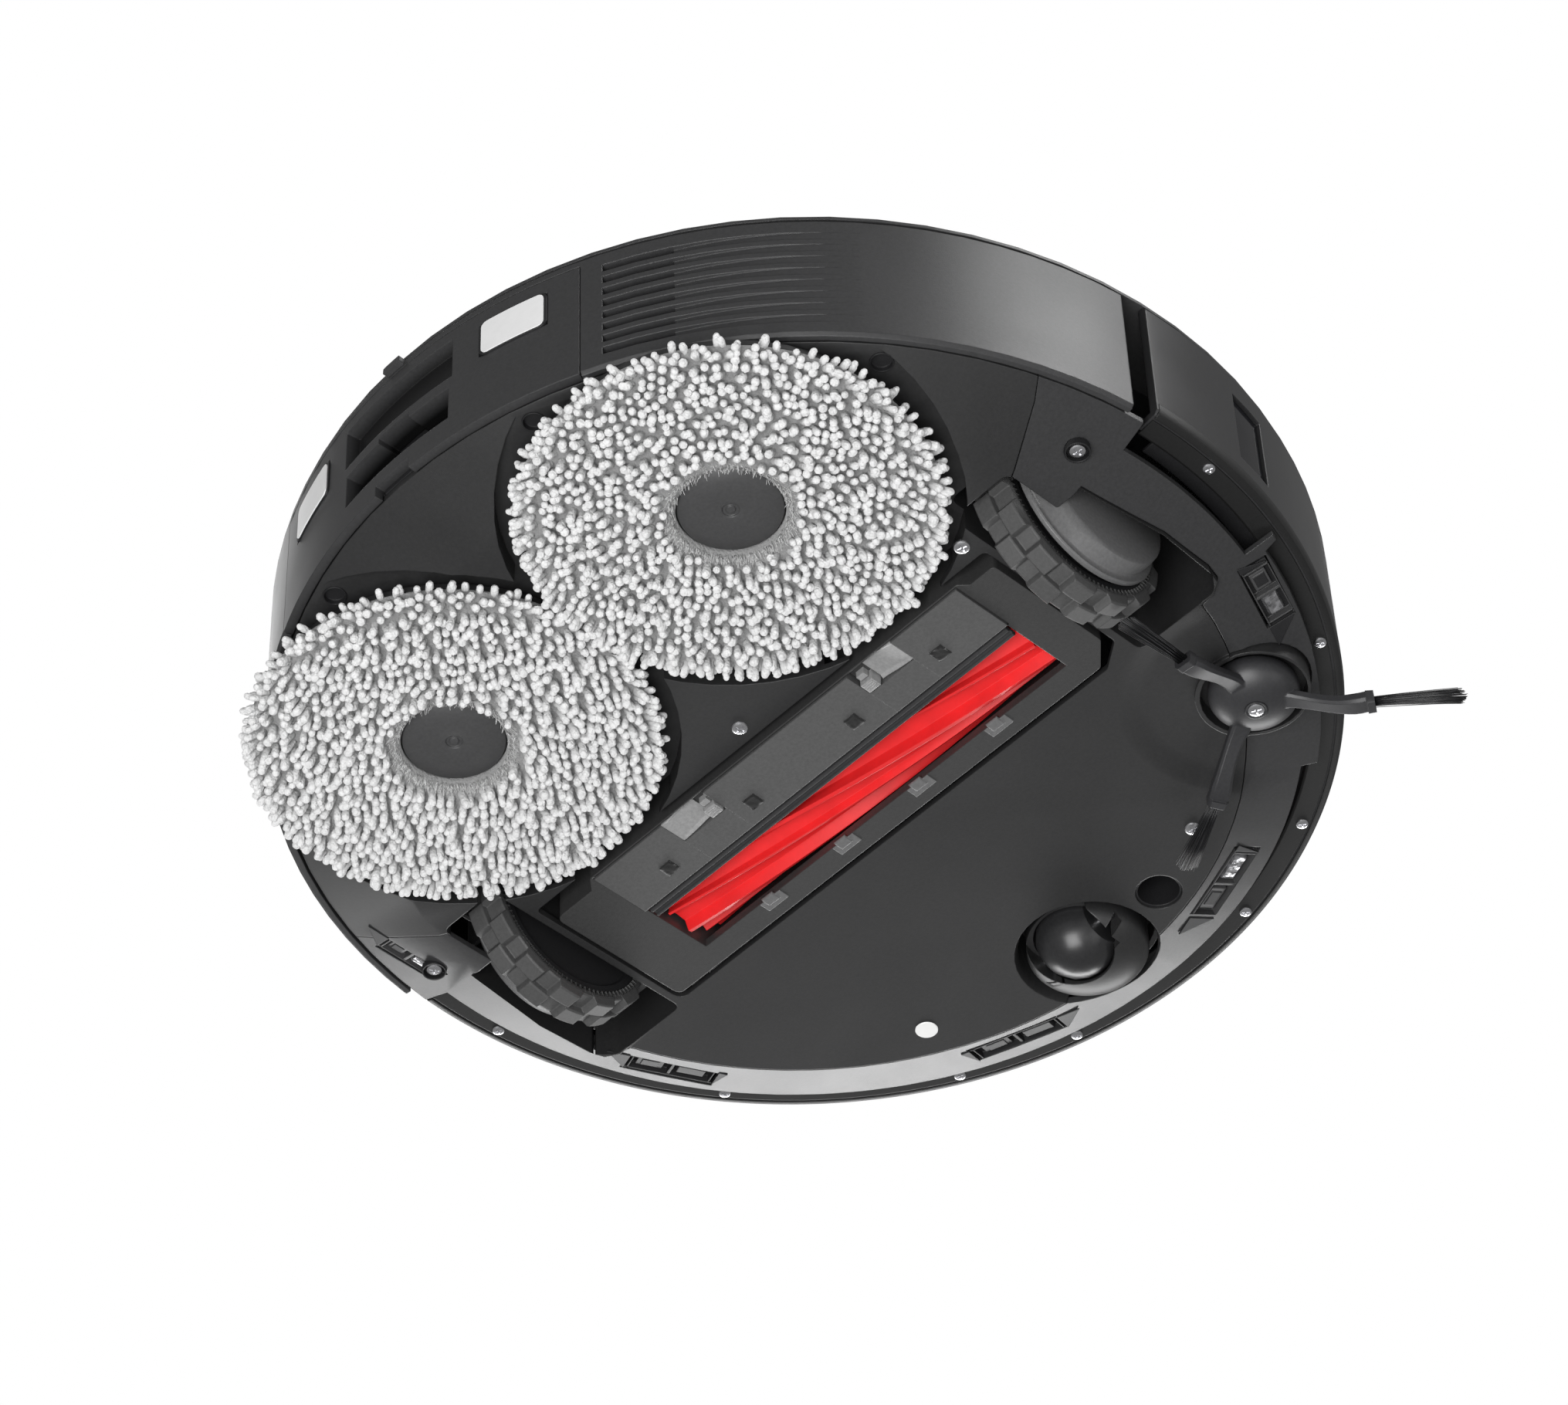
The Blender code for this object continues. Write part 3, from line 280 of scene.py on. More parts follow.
# ---- greys: latches, brush cover, swing arms, buttons and inner modules --------------------
# The same moulded plastic in lighter tones, so that what a hand reaches for stands out.
grey_plastic = moulded("grey_plastic", (0.20, 0.20, 0.205), 0.42)
arm_plastic = moulded("arm_grey", (0.125, 0.125, 0.126), 0.36)
cover_plastic = moulded("cover_grey", (0.074, 0.074, 0.074), 0.40, grain=0.2)
latch_plastic = moulded("latch_grey", (0.27, 0.27, 0.27), 0.36)
dress(["brush_bearing", "power_button", "home_button", "side_brush_motor",
       "mop_gearbox", "suction_fan", "mop_sleeve_left", "mop_sleeve_right"], grey_plastic)
dress(["mop_plate_left", "mop_plate_right"], pan_plastic)

# ---- metal: screws, pins and motor case ----------------------------------------------------
# Bright nickel-plated steel with fine brushing.
bright_steel, tree, shader = shader_of("bright_steel", Metallic=1.0)
place = grain_colour(tree, shader, (0.72, 0.72, 0.74), 0.06, 400.0)
stretch = add(tree, "ShaderNodeMapping", Scale=(60.0, 2500.0, 2500.0))
brushing = add(tree, "ShaderNodeTexNoise", Scale=1.0, Detail=3.0)
span = add(tree, "ShaderNodeMapRange", To_Min=0.20, To_Max=0.38)
wire(tree, (place, "Object", stretch, "Vector"), (stretch, "Vector", brushing, "Vector"),
     (brushing, "Fac", span, "Value"), (span, "Result", shader, "Roughness"))
dress(["arm_pin_left", "arm_pin_right", "caster_axle", "brush_motor"], bright_steel)

# ---- working parts inside the body ---------------------------------------------------------
# Circuit board, battery in its shrink wrap, and the smoked clear dust bin.
for piece_name, finish, colour, spread, scale, looks in (
        ("main_board", "solder_mask", (0.02, 0.12, 0.05), 0.5, 500.0, {"Roughness": 0.35}),
        ("battery_pack", "battery_wrap", (0.03, 0.07, 0.20), 0.1, 40.0, {"Roughness": 0.4}),
        ("dust_bin", "smoked_clear", (0.10, 0.10, 0.11), 0.2, 30.0,
         {"Roughness": 0.12, "Transmission_Weight": 0.6})):
    mat, tree, shader = shader_of(finish, **looks)
    grain_colour(tree, shader, colour, spread, scale)
    dress([piece_name], mat)

# ---- mops: looped microfibre pads on their plates ------------------------------------------
# Each pad is a round cloth with thick chenille strands sewn in close rows, held to the plate
# by hook and loop. A ring of fine pile shows round the plastic cap in the middle.


def finish_mesh(name, bm, mats, smooth=True):
    """A piece from a bmesh, with its place in its mesh."""
    mesh = bpy.data.meshes.new(name)
    bm.to_mesh(mesh)
    bm.free()
    for mat in mats:
        mesh.materials.append(mat)
    if smooth:
        mesh.shade_smooth()
    obj = bpy.data.objects.new(name, mesh)
    scene.collection.objects.link(obj)
    return obj


def face_out(bm):
    """Turns the faces of closed shells outwards."""
    bmesh.ops.recalc_face_normals(bm, faces=bm.faces)


def ring_stack(bm, rings, closed=False):
    """Joins rings of points with quads; the ends get a face, or are joined when closed."""
    made = [[bm.verts.new(p) for p in ring] for ring in rings]
    for near, far in list(zip(made, made[1:])) + ([(made[-1], made[0])] if closed else []):
        for i in range(len(near)):
            j = (i + 1) % len(near)
            bm.faces.new((near[i], near[j], far[j], far[i]))
    if not closed:
        bm.faces.new(made[0])
        bm.faces.new(made[-1])


def turned_mesh(bm, profile, centre=(0.0, 0.0, 0.0), steps=64, closed=False, axis="Z"):
    """Turns (radius, height) points about an axis through centre."""
    rings = []
    for r, h in profile:
        ring = []
        for i in range(steps):
            a = math.tau * i / steps
            u, v = r * math.cos(a), r * math.sin(a)
            x, y, z = (u, v, h) if axis == "Z" else (h, u, v)
            ring.append((centre[0] + x, centre[1] + y, centre[2] + z))
        rings.append(ring)
    ring_stack(bm, rings, closed)
    bmesh.ops.remove_doubles(bm, verts=bm.verts, dist=0.000001)
    face_out(bm)


def circle(count, radius, z, phase=0.0):
    """Points round a circle; phase moves them on by a share of their spacing."""
    return [(radius * math.cos(math.tau * (i + phase) / count),
             radius * math.sin(math.tau * (i + phase) / count), z) for i in range(count)]


def sharpen(obj, degrees=35.0):
    """Keeps the edges sharp that bend more than this."""
    obj.data.set_sharp_from_angle(angle=math.radians(degrees))
    return obj


def repeat_tree():
    """Nodes that set a copy of a piece on every point, turned and sized by the point."""
    group, start, end = new_group(
        "repeat_on_points", ("Points", "INPUT", "Geometry", None),
        ("Piece", "INPUT", "Object", None), ("Size", "INPUT", "Float", 1.0),
        ("Finish", "INPUT", "Material", None), ("Result", "OUTPUT", "Geometry", None))
    info = add(group, "GeometryNodeObjectInfo", As_Instance=True)
    copies = group.nodes.new("GeometryNodeInstanceOnPoints")
    turn = add(group, "GeometryNodeInputNamedAttribute", Name="turn")
    size = add(group, "GeometryNodeInputNamedAttribute", Name="size")
    turn.data_type = size.data_type = "FLOAT_VECTOR"
    grow = group.nodes.new("ShaderNodeVectorMath")
    grow.operation = "SCALE"
    real = group.nodes.new("GeometryNodeRealizeInstances")
    paint = group.nodes.new("GeometryNodeSetMaterial")
    wire(group, (start, "Points", copies, "Points"), (start, "Piece", info, "Object"),
         (info, "Geometry", copies, "Instance"), (turn, "Attribute", copies, "Rotation"),
         (size, "Attribute", grow, 0), (start, "Size", grow, "Scale"),
         (grow, "Vector", copies, "Scale"), (copies, "Instances", real, "Geometry"),
         (real, "Geometry", paint, "Geometry"), (start, "Finish", paint, "Material"),
         (paint, "Geometry", end, "Result"))
    return group


copy_nodes = repeat_tree()


def repeat(name, pattern, spots, mat, size=1.0):
    """One mesh of copies of pattern. A spot is (place, turn as Euler, size on each axis)."""
    base = bpy.data.meshes.new(name + "_points")
    base.from_pydata([tuple(spot[0]) for spot in spots], [], [])
    for index, key in ((1, "turn"), (2, "size")):
        given = base.attributes.new(key, "FLOAT_VECTOR", "POINT")
        given.data.foreach_set("vector", [value for spot in spots for value in spot[index]])
    holder = bpy.data.objects.new(name + "_points", base)
    scene.collection.objects.link(holder)
    step = holder.modifiers.new("copies", "NODES")
    step.node_group = copy_nodes
    values = {"Piece": pattern, "Size": size, "Finish": mat}
    for item in copy_nodes.interface.items_tree:
        if item.in_out == "INPUT" and item.name in values:
            step[item.identifier] = values[item.name]
    bpy.context.view_layer.update()
    depsgraph = bpy.context.evaluated_depsgraph_get()
    mesh = bpy.data.meshes.new_from_object(holder.evaluated_get(depsgraph))
    holder.modifiers.clear()
    bpy.data.objects.remove(holder, do_unlink=True)
    mesh.name = name
    mesh.shade_smooth()
    for spare in ("turn", "size"):
        if spare in mesh.attributes:
            mesh.attributes.remove(mesh.attributes[spare])
    obj = bpy.data.objects.new(name, mesh)
    scene.collection.objects.link(obj)
    return obj


def drop(obj):
    """Removes a pattern once its copies are made."""
    bpy.data.objects.remove(obj, do_unlink=True)


chenille, tree, shader = shader_of("chenille", Roughness=0.95, Sheen_Weight=0.35,
                                   Sheen_Roughness=0.5, Specular_IOR_Level=0.15)
place = grain_colour(tree, shader, (0.80, 0.80, 0.80), 0.08, 700.0)
fuzz = add(tree, "ShaderNodeTexNoise", Scale=1500.0, Detail=4.0, Roughness=0.7)
lumps = add(tree, "ShaderNodeTexVoronoi", Scale=900.0)
fluff = add(tree, "ShaderNodeMath")
fluff.operation = "SUBTRACT"
pile = add(tree, "ShaderNodeBump", Strength=0.85, Distance=0.0007)
wire(tree, (place, "Object", fuzz, "Vector"), (place, "Object", lumps, "Vector"),
     (fuzz, "Fac", fluff, 0), (lumps, "Distance", fluff, 1), (fluff, 0, pile, "Height"),
     (pile, "Normal", shader, "Normal"))
# painted shade: the colour darkens towards the foot of each strand, where shade falls between the
# strands
along = add(tree, "ShaderNodeAttribute")
along.attribute_name = "tip"
shade = add(tree, "ShaderNodeMapRange", From_Min=0.05, From_Max=0.80, To_Min=0.34, To_Max=1.0)
wire(tree, (along, "Fac", shade, "Value"))
darken(chenille, shade.outputs["Result"])

# one strand: a lumpy soft finger with a rounded tip, hanging along -Z
STRAND_SIDES = 7
STRAND_PROFILE = ((0.55, 0.0), (0.86, 0.10), (0.96, 0.30), (0.84, 0.48), (1.0, 0.68),
                  (0.92, 0.86), (0.55, 0.97), (0.12, 1.0))
strand_rings = [circle(STRAND_SIDES, r, -h, 0.5 * (index % 2))
                for index, (r, h) in enumerate(STRAND_PROFILE)]
hair_rings = [circle(4, 1.0, 0.0), circle(4, 0.3, -1.0)]


def fibre(name, rings, root_shade, growth):
    """A pattern whose "tip" value, which sets its painted shade, grows from its root to its end.
    """
    bm = bmesh.new()
    ring_stack(bm, rings)
    face_out(bm)
    tip = bm.verts.layers.float.new("tip")
    for vert in bm.verts:
        vert[tip] = root_shade - growth * vert.co.z
    return finish_mesh(name, bm, [chenille])


strand = fibre("strand", strand_rings, 0.0, 1.0)
hair = fibre("hair", hair_rings, 0.6, 0.3)

MOP_PAD_R = 0.0655       # radius of the cloth, without the strands that stand out of its edge
MOP_INNER_R = 0.0172     # edge of the hole for the cap
MOP_EDGE_R = 0.0570      # beyond this radius the strands lean outwards more and more
MOP_X, MOP_Y = 0.0658, 0.0934
STRAND_LENGTH = 0.0068
STRAND_RADIUS = 0.00146
STRAND_PITCH = 0.0032
HAIRS = 900              # short fibres in the ring of pile
HAIR_RADIUS = 0.00014


def strand_turn(direction, roll):
    """Turns a strand, which hangs along -Z, to point along a direction."""
    lean = Vector((0, 0, -1)).rotation_difference(direction.normalized())
    return (lean.to_matrix().to_4x4() @ Matrix.Rotation(roll, 4, "Z")).to_euler()


def mop(name, cx, cy, row_turn, lean, seed):
    """One mop pad: backing cloth, strands in rows, edge strands and the pile ring."""
    rnd = random.Random(seed)
    body = name + "_mop"
    bm = bmesh.new()
    turned_mesh(bm, [(MOP_INNER_R, 0.0034), (0.0640, 0.0034), (MOP_PAD_R - 0.0006, 0.0024),
                     (MOP_PAD_R, 0.0010), (MOP_PAD_R - 0.0012, -0.0006),
                     (0.0200, -0.0006), (MOP_INNER_R, 0.0006)],
                centre=(cx, cy, UNDER), steps=96, closed=True)
    backing = finish_mesh("mop_cloth_" + name, bm, [chenille])
    spots = []
    row = Vector((math.cos(row_turn), math.sin(row_turn)))
    across = Vector((-row.y, row.x))
    reach = int(MOP_PAD_R / STRAND_PITCH) + 2
    for i in range(-reach, reach + 1):
        for j in range(-reach - 2, reach + 3):
            u = i * STRAND_PITCH * 0.98
            v = (j + 0.5 * (i % 2)) * STRAND_PITCH * 1.08
            p = row * v + across * u
            p += Vector((rnd.uniform(-1, 1), rnd.uniform(-1, 1))) * 0.00055
            r = p.length
            if not MOP_INNER_R + 0.0032 < r < MOP_PAD_R - 0.0008:
                continue
            out = p.normalized()
            edge = max(0.0, (r - MOP_EDGE_R) / (MOP_PAD_R - MOP_EDGE_R))
            tilt = Vector((lean[0], lean[1])) * (1 - edge) + out * (0.25 + 1.3 * edge ** 2)
            direction = Vector((tilt.x + rnd.uniform(-0.36, 0.36),
                                tilt.y + rnd.uniform(-0.36, 0.36), -1.0))
            long = STRAND_LENGTH * rnd.uniform(0.72, 1.06) * (1 - 0.12 * edge)
            wide = STRAND_RADIUS * rnd.uniform(0.86, 1.12)
            spots.append(((cx + p.x, cy + p.y, UNDER + 0.0004),
                          strand_turn(direction, rnd.uniform(0, 6.28)), (wide, wide, long)))
    for ring, count in ((0, 100), (1, 96)):
        for k in range(count):
            a = math.tau * (k + rnd.uniform(-0.35, 0.35)) / count
            out = Vector((math.cos(a), math.sin(a)))
            r = MOP_PAD_R - 0.0034 - 0.0002 * ring
            droop = rnd.uniform(-0.35, 0.25) - 0.75 * ring
            side_lean = rnd.uniform(-0.35, 0.35)
            direction = Vector((out.x - out.y * side_lean, out.y + out.x * side_lean, droop))
            long = STRAND_LENGTH * rnd.uniform(0.85, 1.10)
            wide = STRAND_RADIUS * rnd.uniform(0.80, 1.02)
            spots.append(((cx + out.x * r, cy + out.y * r, UNDER + 0.0014 - 0.0010 * ring),
                          strand_turn(direction, rnd.uniform(0, 6.28)), (wide, wide, long)))
    strands = repeat("mop_strands_" + name, strand, spots, chenille)
    spots = []
    for k in range(HAIRS):
        a = rnd.uniform(0, math.tau)
        r = MOP_INNER_R + rnd.uniform(0.0004, 0.0036)
        out = Vector((math.cos(a), math.sin(a)))
        pull = rnd.uniform(-0.25, 0.7)
        direction = Vector((out.x * pull + rnd.uniform(-0.3, 0.3),
                            out.y * pull + rnd.uniform(-0.3, 0.3), -1.0))
        long = rnd.uniform(0.0014, 0.0032)
        spots.append(((cx + out.x * r, cy + out.y * r, UNDER + 0.0002),
                      strand_turn(direction, 0.0), (HAIR_RADIUS, HAIR_RADIUS, long)))
    pile_ring = repeat("mop_pile_ring_" + name, hair, spots, chenille)
    bm = bmesh.new()
    # the backing cloth gets no "tip" value, so it takes the darkest painted shade, between the
    # strands
    bm.verts.layers.float.new("tip")
    for source in (backing, strands, pile_ring):
        bm.from_mesh(source.data)
    pad = finish_mesh("mop_pad_cloth_" + name, bm, [chenille])
    for source in (backing, strands, pile_ring):
        drop(source)
    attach(pad, body)
    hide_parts("mop_pad_" + name)


mop("left", MOP_X, MOP_Y, math.radians(-47), (0.10, -0.10), 11)
mop("right", -MOP_X, MOP_Y, math.radians(20), (-0.30, 0.30), 23)
drop(strand)
drop(hair)

# the moulded cap in the middle of each pad, with a small sunk screw plug
cap_plastic = moulded("cap_charcoal", (0.052, 0.052, 0.053), 0.42)
for name, side_sign in (("left", 1), ("right", -1)):
    bm = bmesh.new()
    turned_mesh(bm, [(0.0, 0.0032), (0.0162, 0.0032), (0.0168, 0.0028), (0.0168, 0.0018),
                     (0.0163, 0.0012), (0.0034, 0.0010), (0.0028, 0.0012), (0.0026, 0.0018),
                     (0.0016, 0.0018), (0.0014, 0.0013), (0.0, 0.0013)],
                centre=(side_sign * MOP_X, MOP_Y, UNDER), steps=72)
    cap = sharpen(finish_mesh("mop_cap_disc_" + name, bm, [cap_plastic]), 50)
    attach(cap, name + "_mop")
    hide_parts("mop_cap_" + name)

# ---- drive wheels --------------------------------------------------------------------------
# Each tyre is moulded rubber with two staggered rows of blocks, on a plastic hub whose rim
# carries a ring of small teeth. The wheel turns on its swing arm.
tyre_rubber = moulded("tyre_rubber", (0.060, 0.060, 0.060), 0.55, grain=0.25, edge=0.0005)
hub_plastic = moulded("hub_black", (0.016, 0.016, 0.017), 0.5)
WHEEL_CENTRE = Vector((0.12035, 0.0016, 0.0361))
BLOCKS = 14              # tread blocks in each of the two rows
BLOCK_WIDTH = 0.0073
TEETH = 96               # small teeth round each edge of the belt

bm = bmesh.new()
half_arc = math.radians(360 / BLOCKS / 4 + 0.6)
block_rows = []
for r, grow, inset in ((0.0322, 1.30, 0.0), (0.0336, 1.22, 0.0), (0.0357, 1.0, 0.0004),
                       (0.0361, 0.93, 0.0009)):
    corners = []
    for x, sense in ((inset, 1), (BLOCK_WIDTH - inset, -1)):
        for i in range(4):
            a = half_arc * grow * (2 * i / 3 - 1) * sense
            corners.append((x, r * math.sin(a), r * math.cos(a)))
    block_rows.append(corners)
ring_stack(bm, block_rows)
face_out(bm)
block = finish_mesh("tread_block", bm, [tyre_rubber], smooth=False)

bm = bmesh.new()
ring_stack(bm, [[(x, y, z) for x, y in ((0, -0.00022), (0.0012, -0.00022), (0.0012, 0.00022),
                                        (0, 0.00022))] for z in (0.0303, 0.0324)])
face_out(bm)
tooth = finish_mesh("rim_tooth", bm, [tyre_rubber], smooth=False)

for name, side_sign in (("left", 1), ("right", -1)):
    centre = WHEEL_CENTRE.copy()
    centre.x *= side_sign
    bm = bmesh.new()
    turned_mesh(bm, [(0.0316, -0.0069), (0.0334, -0.0069), (0.0338, -0.0064),
                     (0.0338, 0.0064), (0.0334, 0.0069), (0.0316, 0.0069)],
                centre=centre, steps=84, closed=True, axis="X")
    belt = sharpen(finish_mesh("tyre_belt", bm, [tyre_rubber]))
    spots = []
    for k in range(BLOCKS):
        a = math.tau * k / BLOCKS
        spots.append((centre - Vector((0.0070, 0, 0)), (a, 0, 0), (1, 1, 1)))
        spots.append((centre - Vector((0.0003, 0, 0)), (a + math.pi / BLOCKS, 0, 0), (1, 1, 1)))
    blocks = repeat("tyre_blocks", block, spots, tyre_rubber)
    spots = []
    for k in range(TEETH):
        a = math.tau * k / TEETH
        for x in (-0.0070, 0.0058):
            spots.append((centre + Vector((x, 0, 0)), (a, 0, 0), (1, 1, 1)))
    teeth = repeat("tyre_teeth", tooth, spots, tyre_rubber)
    bm = bmesh.new()
    for source in (belt, blocks, teeth):
        bm.from_mesh(source.data)
        drop(source)
    tyre = sharpen(finish_mesh("tyre_tread_" + name, bm, [tyre_rubber]), 30)
    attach(tyre, name + "_wheel")
    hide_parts("tyre_" + name)
    bm = bmesh.new()
    turned_mesh(bm, [(0.0, -0.0062), (0.0060, -0.0062), (0.0064, -0.0056), (0.0272, -0.0056),
                     (0.0278, -0.0064), (0.0300, -0.0064), (0.0303, -0.0058),
                     (0.0315, -0.0056), (0.0315, 0.0056), (0.0303, 0.0058),
                     (0.0300, 0.0064), (0.0278, 0.0064), (0.0272, 0.0056), (0.0064, 0.0056),
                     (0.0060, 0.0062), (0.0, 0.0062)],
                centre=centre, steps=72, axis="X")
    hub = sharpen(finish_mesh("wheel_hub_" + name, bm, [hub_plastic]))
    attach(hub, name + "_wheel")
    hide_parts("wheel_" + name)
drop(block)
drop(tooth)

# Each swing arm's outer side is a round gear cover: a bright rim that shows beside the tyre,
# and a raised face set a little forward. A web joins it to its pin at the rear.
RIM_OUT = 0.0114         # how far the rim stands out from the wheel's middle
FACE_SHIFT = 0.0030      # how far forward the raised face is set
for name, side_sign in (("left", 1), ("right", -1)):
    bm = bmesh.new()
    profile = [(0.0, 0.0081), (0.0292, 0.0081), (0.0299, 0.0086), (0.0300, 0.0098),
               (0.0295, 0.0104), (0.0284, 0.0104), (0.0276, 0.0108), (0.0262, 0.0140),
               (0.0250, 0.0158), (0.0236, 0.0164), (0.0, 0.0168)]
    centre = Vector((side_sign * WHEEL_CENTRE.x, WHEEL_CENTRE.y, WHEEL_CENTRE.z))
    turned_mesh(bm, [(r, side_sign * h) for r, h in profile], centre=centre, steps=72, axis="X")
    for vert in bm.verts:
        out = (vert.co.x - centre.x) * side_sign
        if out > RIM_OUT:
            vert.co.y -= FACE_SHIFT * min(1.0, (out - RIM_OUT) / 0.005)
    web = [(0.0, 0.0620), (0.0200, 0.0585), (0.0392, 0.0662), (0.0385, 0.0700), (0.0350, 0.0715),
           (0.0100, 0.0660)]
    ring_stack(bm, [[(side_sign * x, y, z) for y, z in web] for x in (0.1286, 0.1318)])
    face_out(bm)
    arm = sharpen(finish_mesh("gear_cover_" + name, bm, [arm_plastic]), 30)
    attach(arm, name + "_arm")
    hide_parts("swing_arm_" + name)

# ---- main brush ----------------------------------------------------------------------------
# A soft moulded rubber roller: six tall fins, with a low rib between each pair, wind about
# a fifth of a turn along its round core.
roller_rubber, tree, shader = shader_of("red_rubber", Roughness=0.34, Coat_Weight=0.15,
                                        Subsurface_Weight=0.08, Subsurface_Scale=0.002)
place = grain_colour(tree, shader, (0.70, 0.018, 0.020), 0.08, 90.0)
texture = add(tree, "ShaderNodeTexNoise", Scale=1200.0, Detail=2.0)
bump = add(tree, "ShaderNodeBump", Strength=0.08, Distance=0.0002)
round_edge = add(tree, "ShaderNodeBevel", Radius=0.0004)
round_edge.samples = 4
wire(tree, (place, "Object", texture, "Vector"), (texture, "Fac", bump, "Height"),
     (round_edge, "Normal", bump, "Normal"), (bump, "Normal", shader, "Normal"))

ROLLER = Vector((0.0, -0.0165, UNDER + 0.0175))
FINS = 6
LAYERS = 60              # cross-sections along the roller
WIND = math.radians(78)  # how far the fins wind from end to end
low_x, high_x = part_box("main_brush")[0].x + 0.0035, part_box("main_brush")[1].x - 0.0065
outline = []
for fin in range(FINS):
    a = math.tau * fin / FINS
    for r, turn in ((0.0140, -10), (0.0150, -5.5), (0.0190, -2.2), (0.0190, 2.2), (0.0150, 5.5),
                    (0.0144, 20), (0.0150, 26.5), (0.0176, 28.6), (0.0176, 31.4), (0.0150, 33.5),
                    (0.0144, 40)):
        outline.append((r, a + math.radians(turn)))
bm = bmesh.new()
rings = []
for layer in range(LAYERS + 1):
    share = layer / LAYERS
    x = low_x + (high_x - low_x) * share
    wind = WIND * share
    rings.append([(ROLLER.x + x, ROLLER.y + r * math.cos(a + wind),
                   ROLLER.z + r * math.sin(a + wind)) for r, a in outline])
ring_stack(bm, rings)
turned_mesh(bm, [(0.0060, low_x - 0.0034), (0.0060, low_x + 0.001)], centre=ROLLER, steps=24,
            axis="X")
turned_mesh(bm, [(0.0050, high_x - 0.001), (0.0050, high_x + 0.0064)], centre=ROLLER, steps=6,
            axis="X")
face_out(bm)
roller = sharpen(finish_mesh("roller_fins", bm, [roller_rubber]), 40)
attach(roller, "roller")
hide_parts("main_brush")

# ---- brush cover: rubber strip, velvet squares, latch pockets and front clips ---------------
# The cover lifts off for cleaning. A two-ribbed dark rubber strip closes the gap to the
# roller, and four felt squares keep dust out of its screw holes.


def block_of(bm, low, high, slant=0.0):
    """A box in a bmesh, its lower face drawn in by slant."""
    made = []
    for z, grow in ((high[2], 0.0), (low[2], -slant)):
        made.append([(low[0] - grow, low[1] - grow, z), (high[0] + grow, low[1] - grow, z),
                     (high[0] + grow, high[1] + grow, z), (low[0] - grow, high[1] + grow, z)])
    ring_stack(bm, made)


strip_rubber = moulded("strip_rubber", (0.022, 0.022, 0.023), 0.45, grain=0.05)
felt, tree, shader = shader_of("black_felt", Roughness=1.0, Sheen_Weight=0.25)
grain_colour(tree, shader, (0.006, 0.006, 0.006), 0.5, 900.0)
low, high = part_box("scraper_strip")
bm = bmesh.new()
section = []
for y, z in ((0.0, 0.0), (0.0, -0.0012), (0.0004, -0.0018), (0.0012, -0.0018),
             (0.0016, -0.0011), (0.0024, -0.0009), (0.0028, -0.0016), (0.0034, -0.0017),
             (0.0040, -0.0016), (0.0043, -0.0010), (0.0045, 0.0)):
    section.append((low.y + y, high.z + z))
ring_stack(bm, [[(x, y, z) for y, z in section] for x in (low.x, high.x)])
face_out(bm)
strip = sharpen(finish_mesh("ribbed_strip", bm, [strip_rubber]), 30)
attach(strip, "body")
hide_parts("scraper_strip")

cover_min, cover_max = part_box("brush_cover")
cover_low = cover_min.z
# the cover plate, open at two places where a finger reaches its latches
bm = bmesh.new()
LATCH_GAPS = ((-0.0600, -0.0400), (0.0280, 0.0480))      # from and to, across the robot
GAP_FRONT = 0.0098                                       # the gaps' front edge
TAB_WIDTH = 0.0062
edges_x = [cover_min.x] + [x for gap in LATCH_GAPS for x in gap] + [cover_max.x]
for index in range(5):
    x0, x1 = edges_x[index], edges_x[index + 1]
    rear_edge = GAP_FRONT if index in (1, 3) else cover_max.y
    block_of(bm, (x0, cover_min.y, cover_low), (x1, rear_edge, cover_max.z))
bmesh.ops.remove_doubles(bm, verts=bm.verts, dist=0.00001)
face_out(bm)
cover = finish_mesh("cover_plate", bm, [cover_plastic], smooth=False)
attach(cover, "body")
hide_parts("brush_cover")

for name, gap, tab_side in (("right", LATCH_GAPS[0], 1), ("left", LATCH_GAPS[1], -1)):
    tab_in = gap[1] if tab_side > 0 else gap[0]
    tab_out = tab_in - tab_side * TAB_WIDTH
    far = gap[0] if tab_side > 0 else gap[1]
    bm = bmesh.new()
    rings = []
    for y in (0.0101, 0.0112, 0.0194, 0.0204):
        lift = 0.0010 if y in (0.0101, 0.0204) else 0.0
        ring = []
        for share, depth in ((0.0, 0.0002), (0.10, 0.0005), (0.5, 0.0018), (0.85, 0.0027),
                             (1.0, 0.0028)):
            ring.append((far + (tab_out - far) * share, y,
                         cover_low + max(0.0001, depth - lift * (share > 0.05))))
        ring += [(tab_out, y, cover_low + 0.0031), (far, y, cover_low + 0.0031)]
        rings.append(ring)
    ring_stack(bm, rings)
    face_out(bm)
    pocket = finish_mesh("latch_pocket_" + name, bm, [latch_plastic], smooth=False)
    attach(pocket, "body")
    bm = bmesh.new()
    lo_x, hi_x = min(tab_in, tab_out) + 0.0003, max(tab_in, tab_out) - 0.0003
    block_of(bm, (lo_x, 0.0102, cover_low - 0.0006), (hi_x, 0.0150, cover_low + 0.0070), 0.0003)
    block_of(bm, (lo_x + 0.0010, 0.0150, cover_low + 0.0008),
             (hi_x - 0.0010, 0.0176, cover_low + 0.0070), 0.0002)
    for k in range(4):
        y = 0.0110 + 0.0009 * k
        block_of(bm, (lo_x + 0.0008, y, cover_low - 0.0009),
                 (hi_x - 0.0008, y + 0.0004, cover_low))
    face_out(bm)
    latch = finish_mesh("latch_tab_" + name, bm, [latch_plastic], smooth=False)
    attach(latch, name + "_latch")
    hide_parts("cover_latch_" + name)

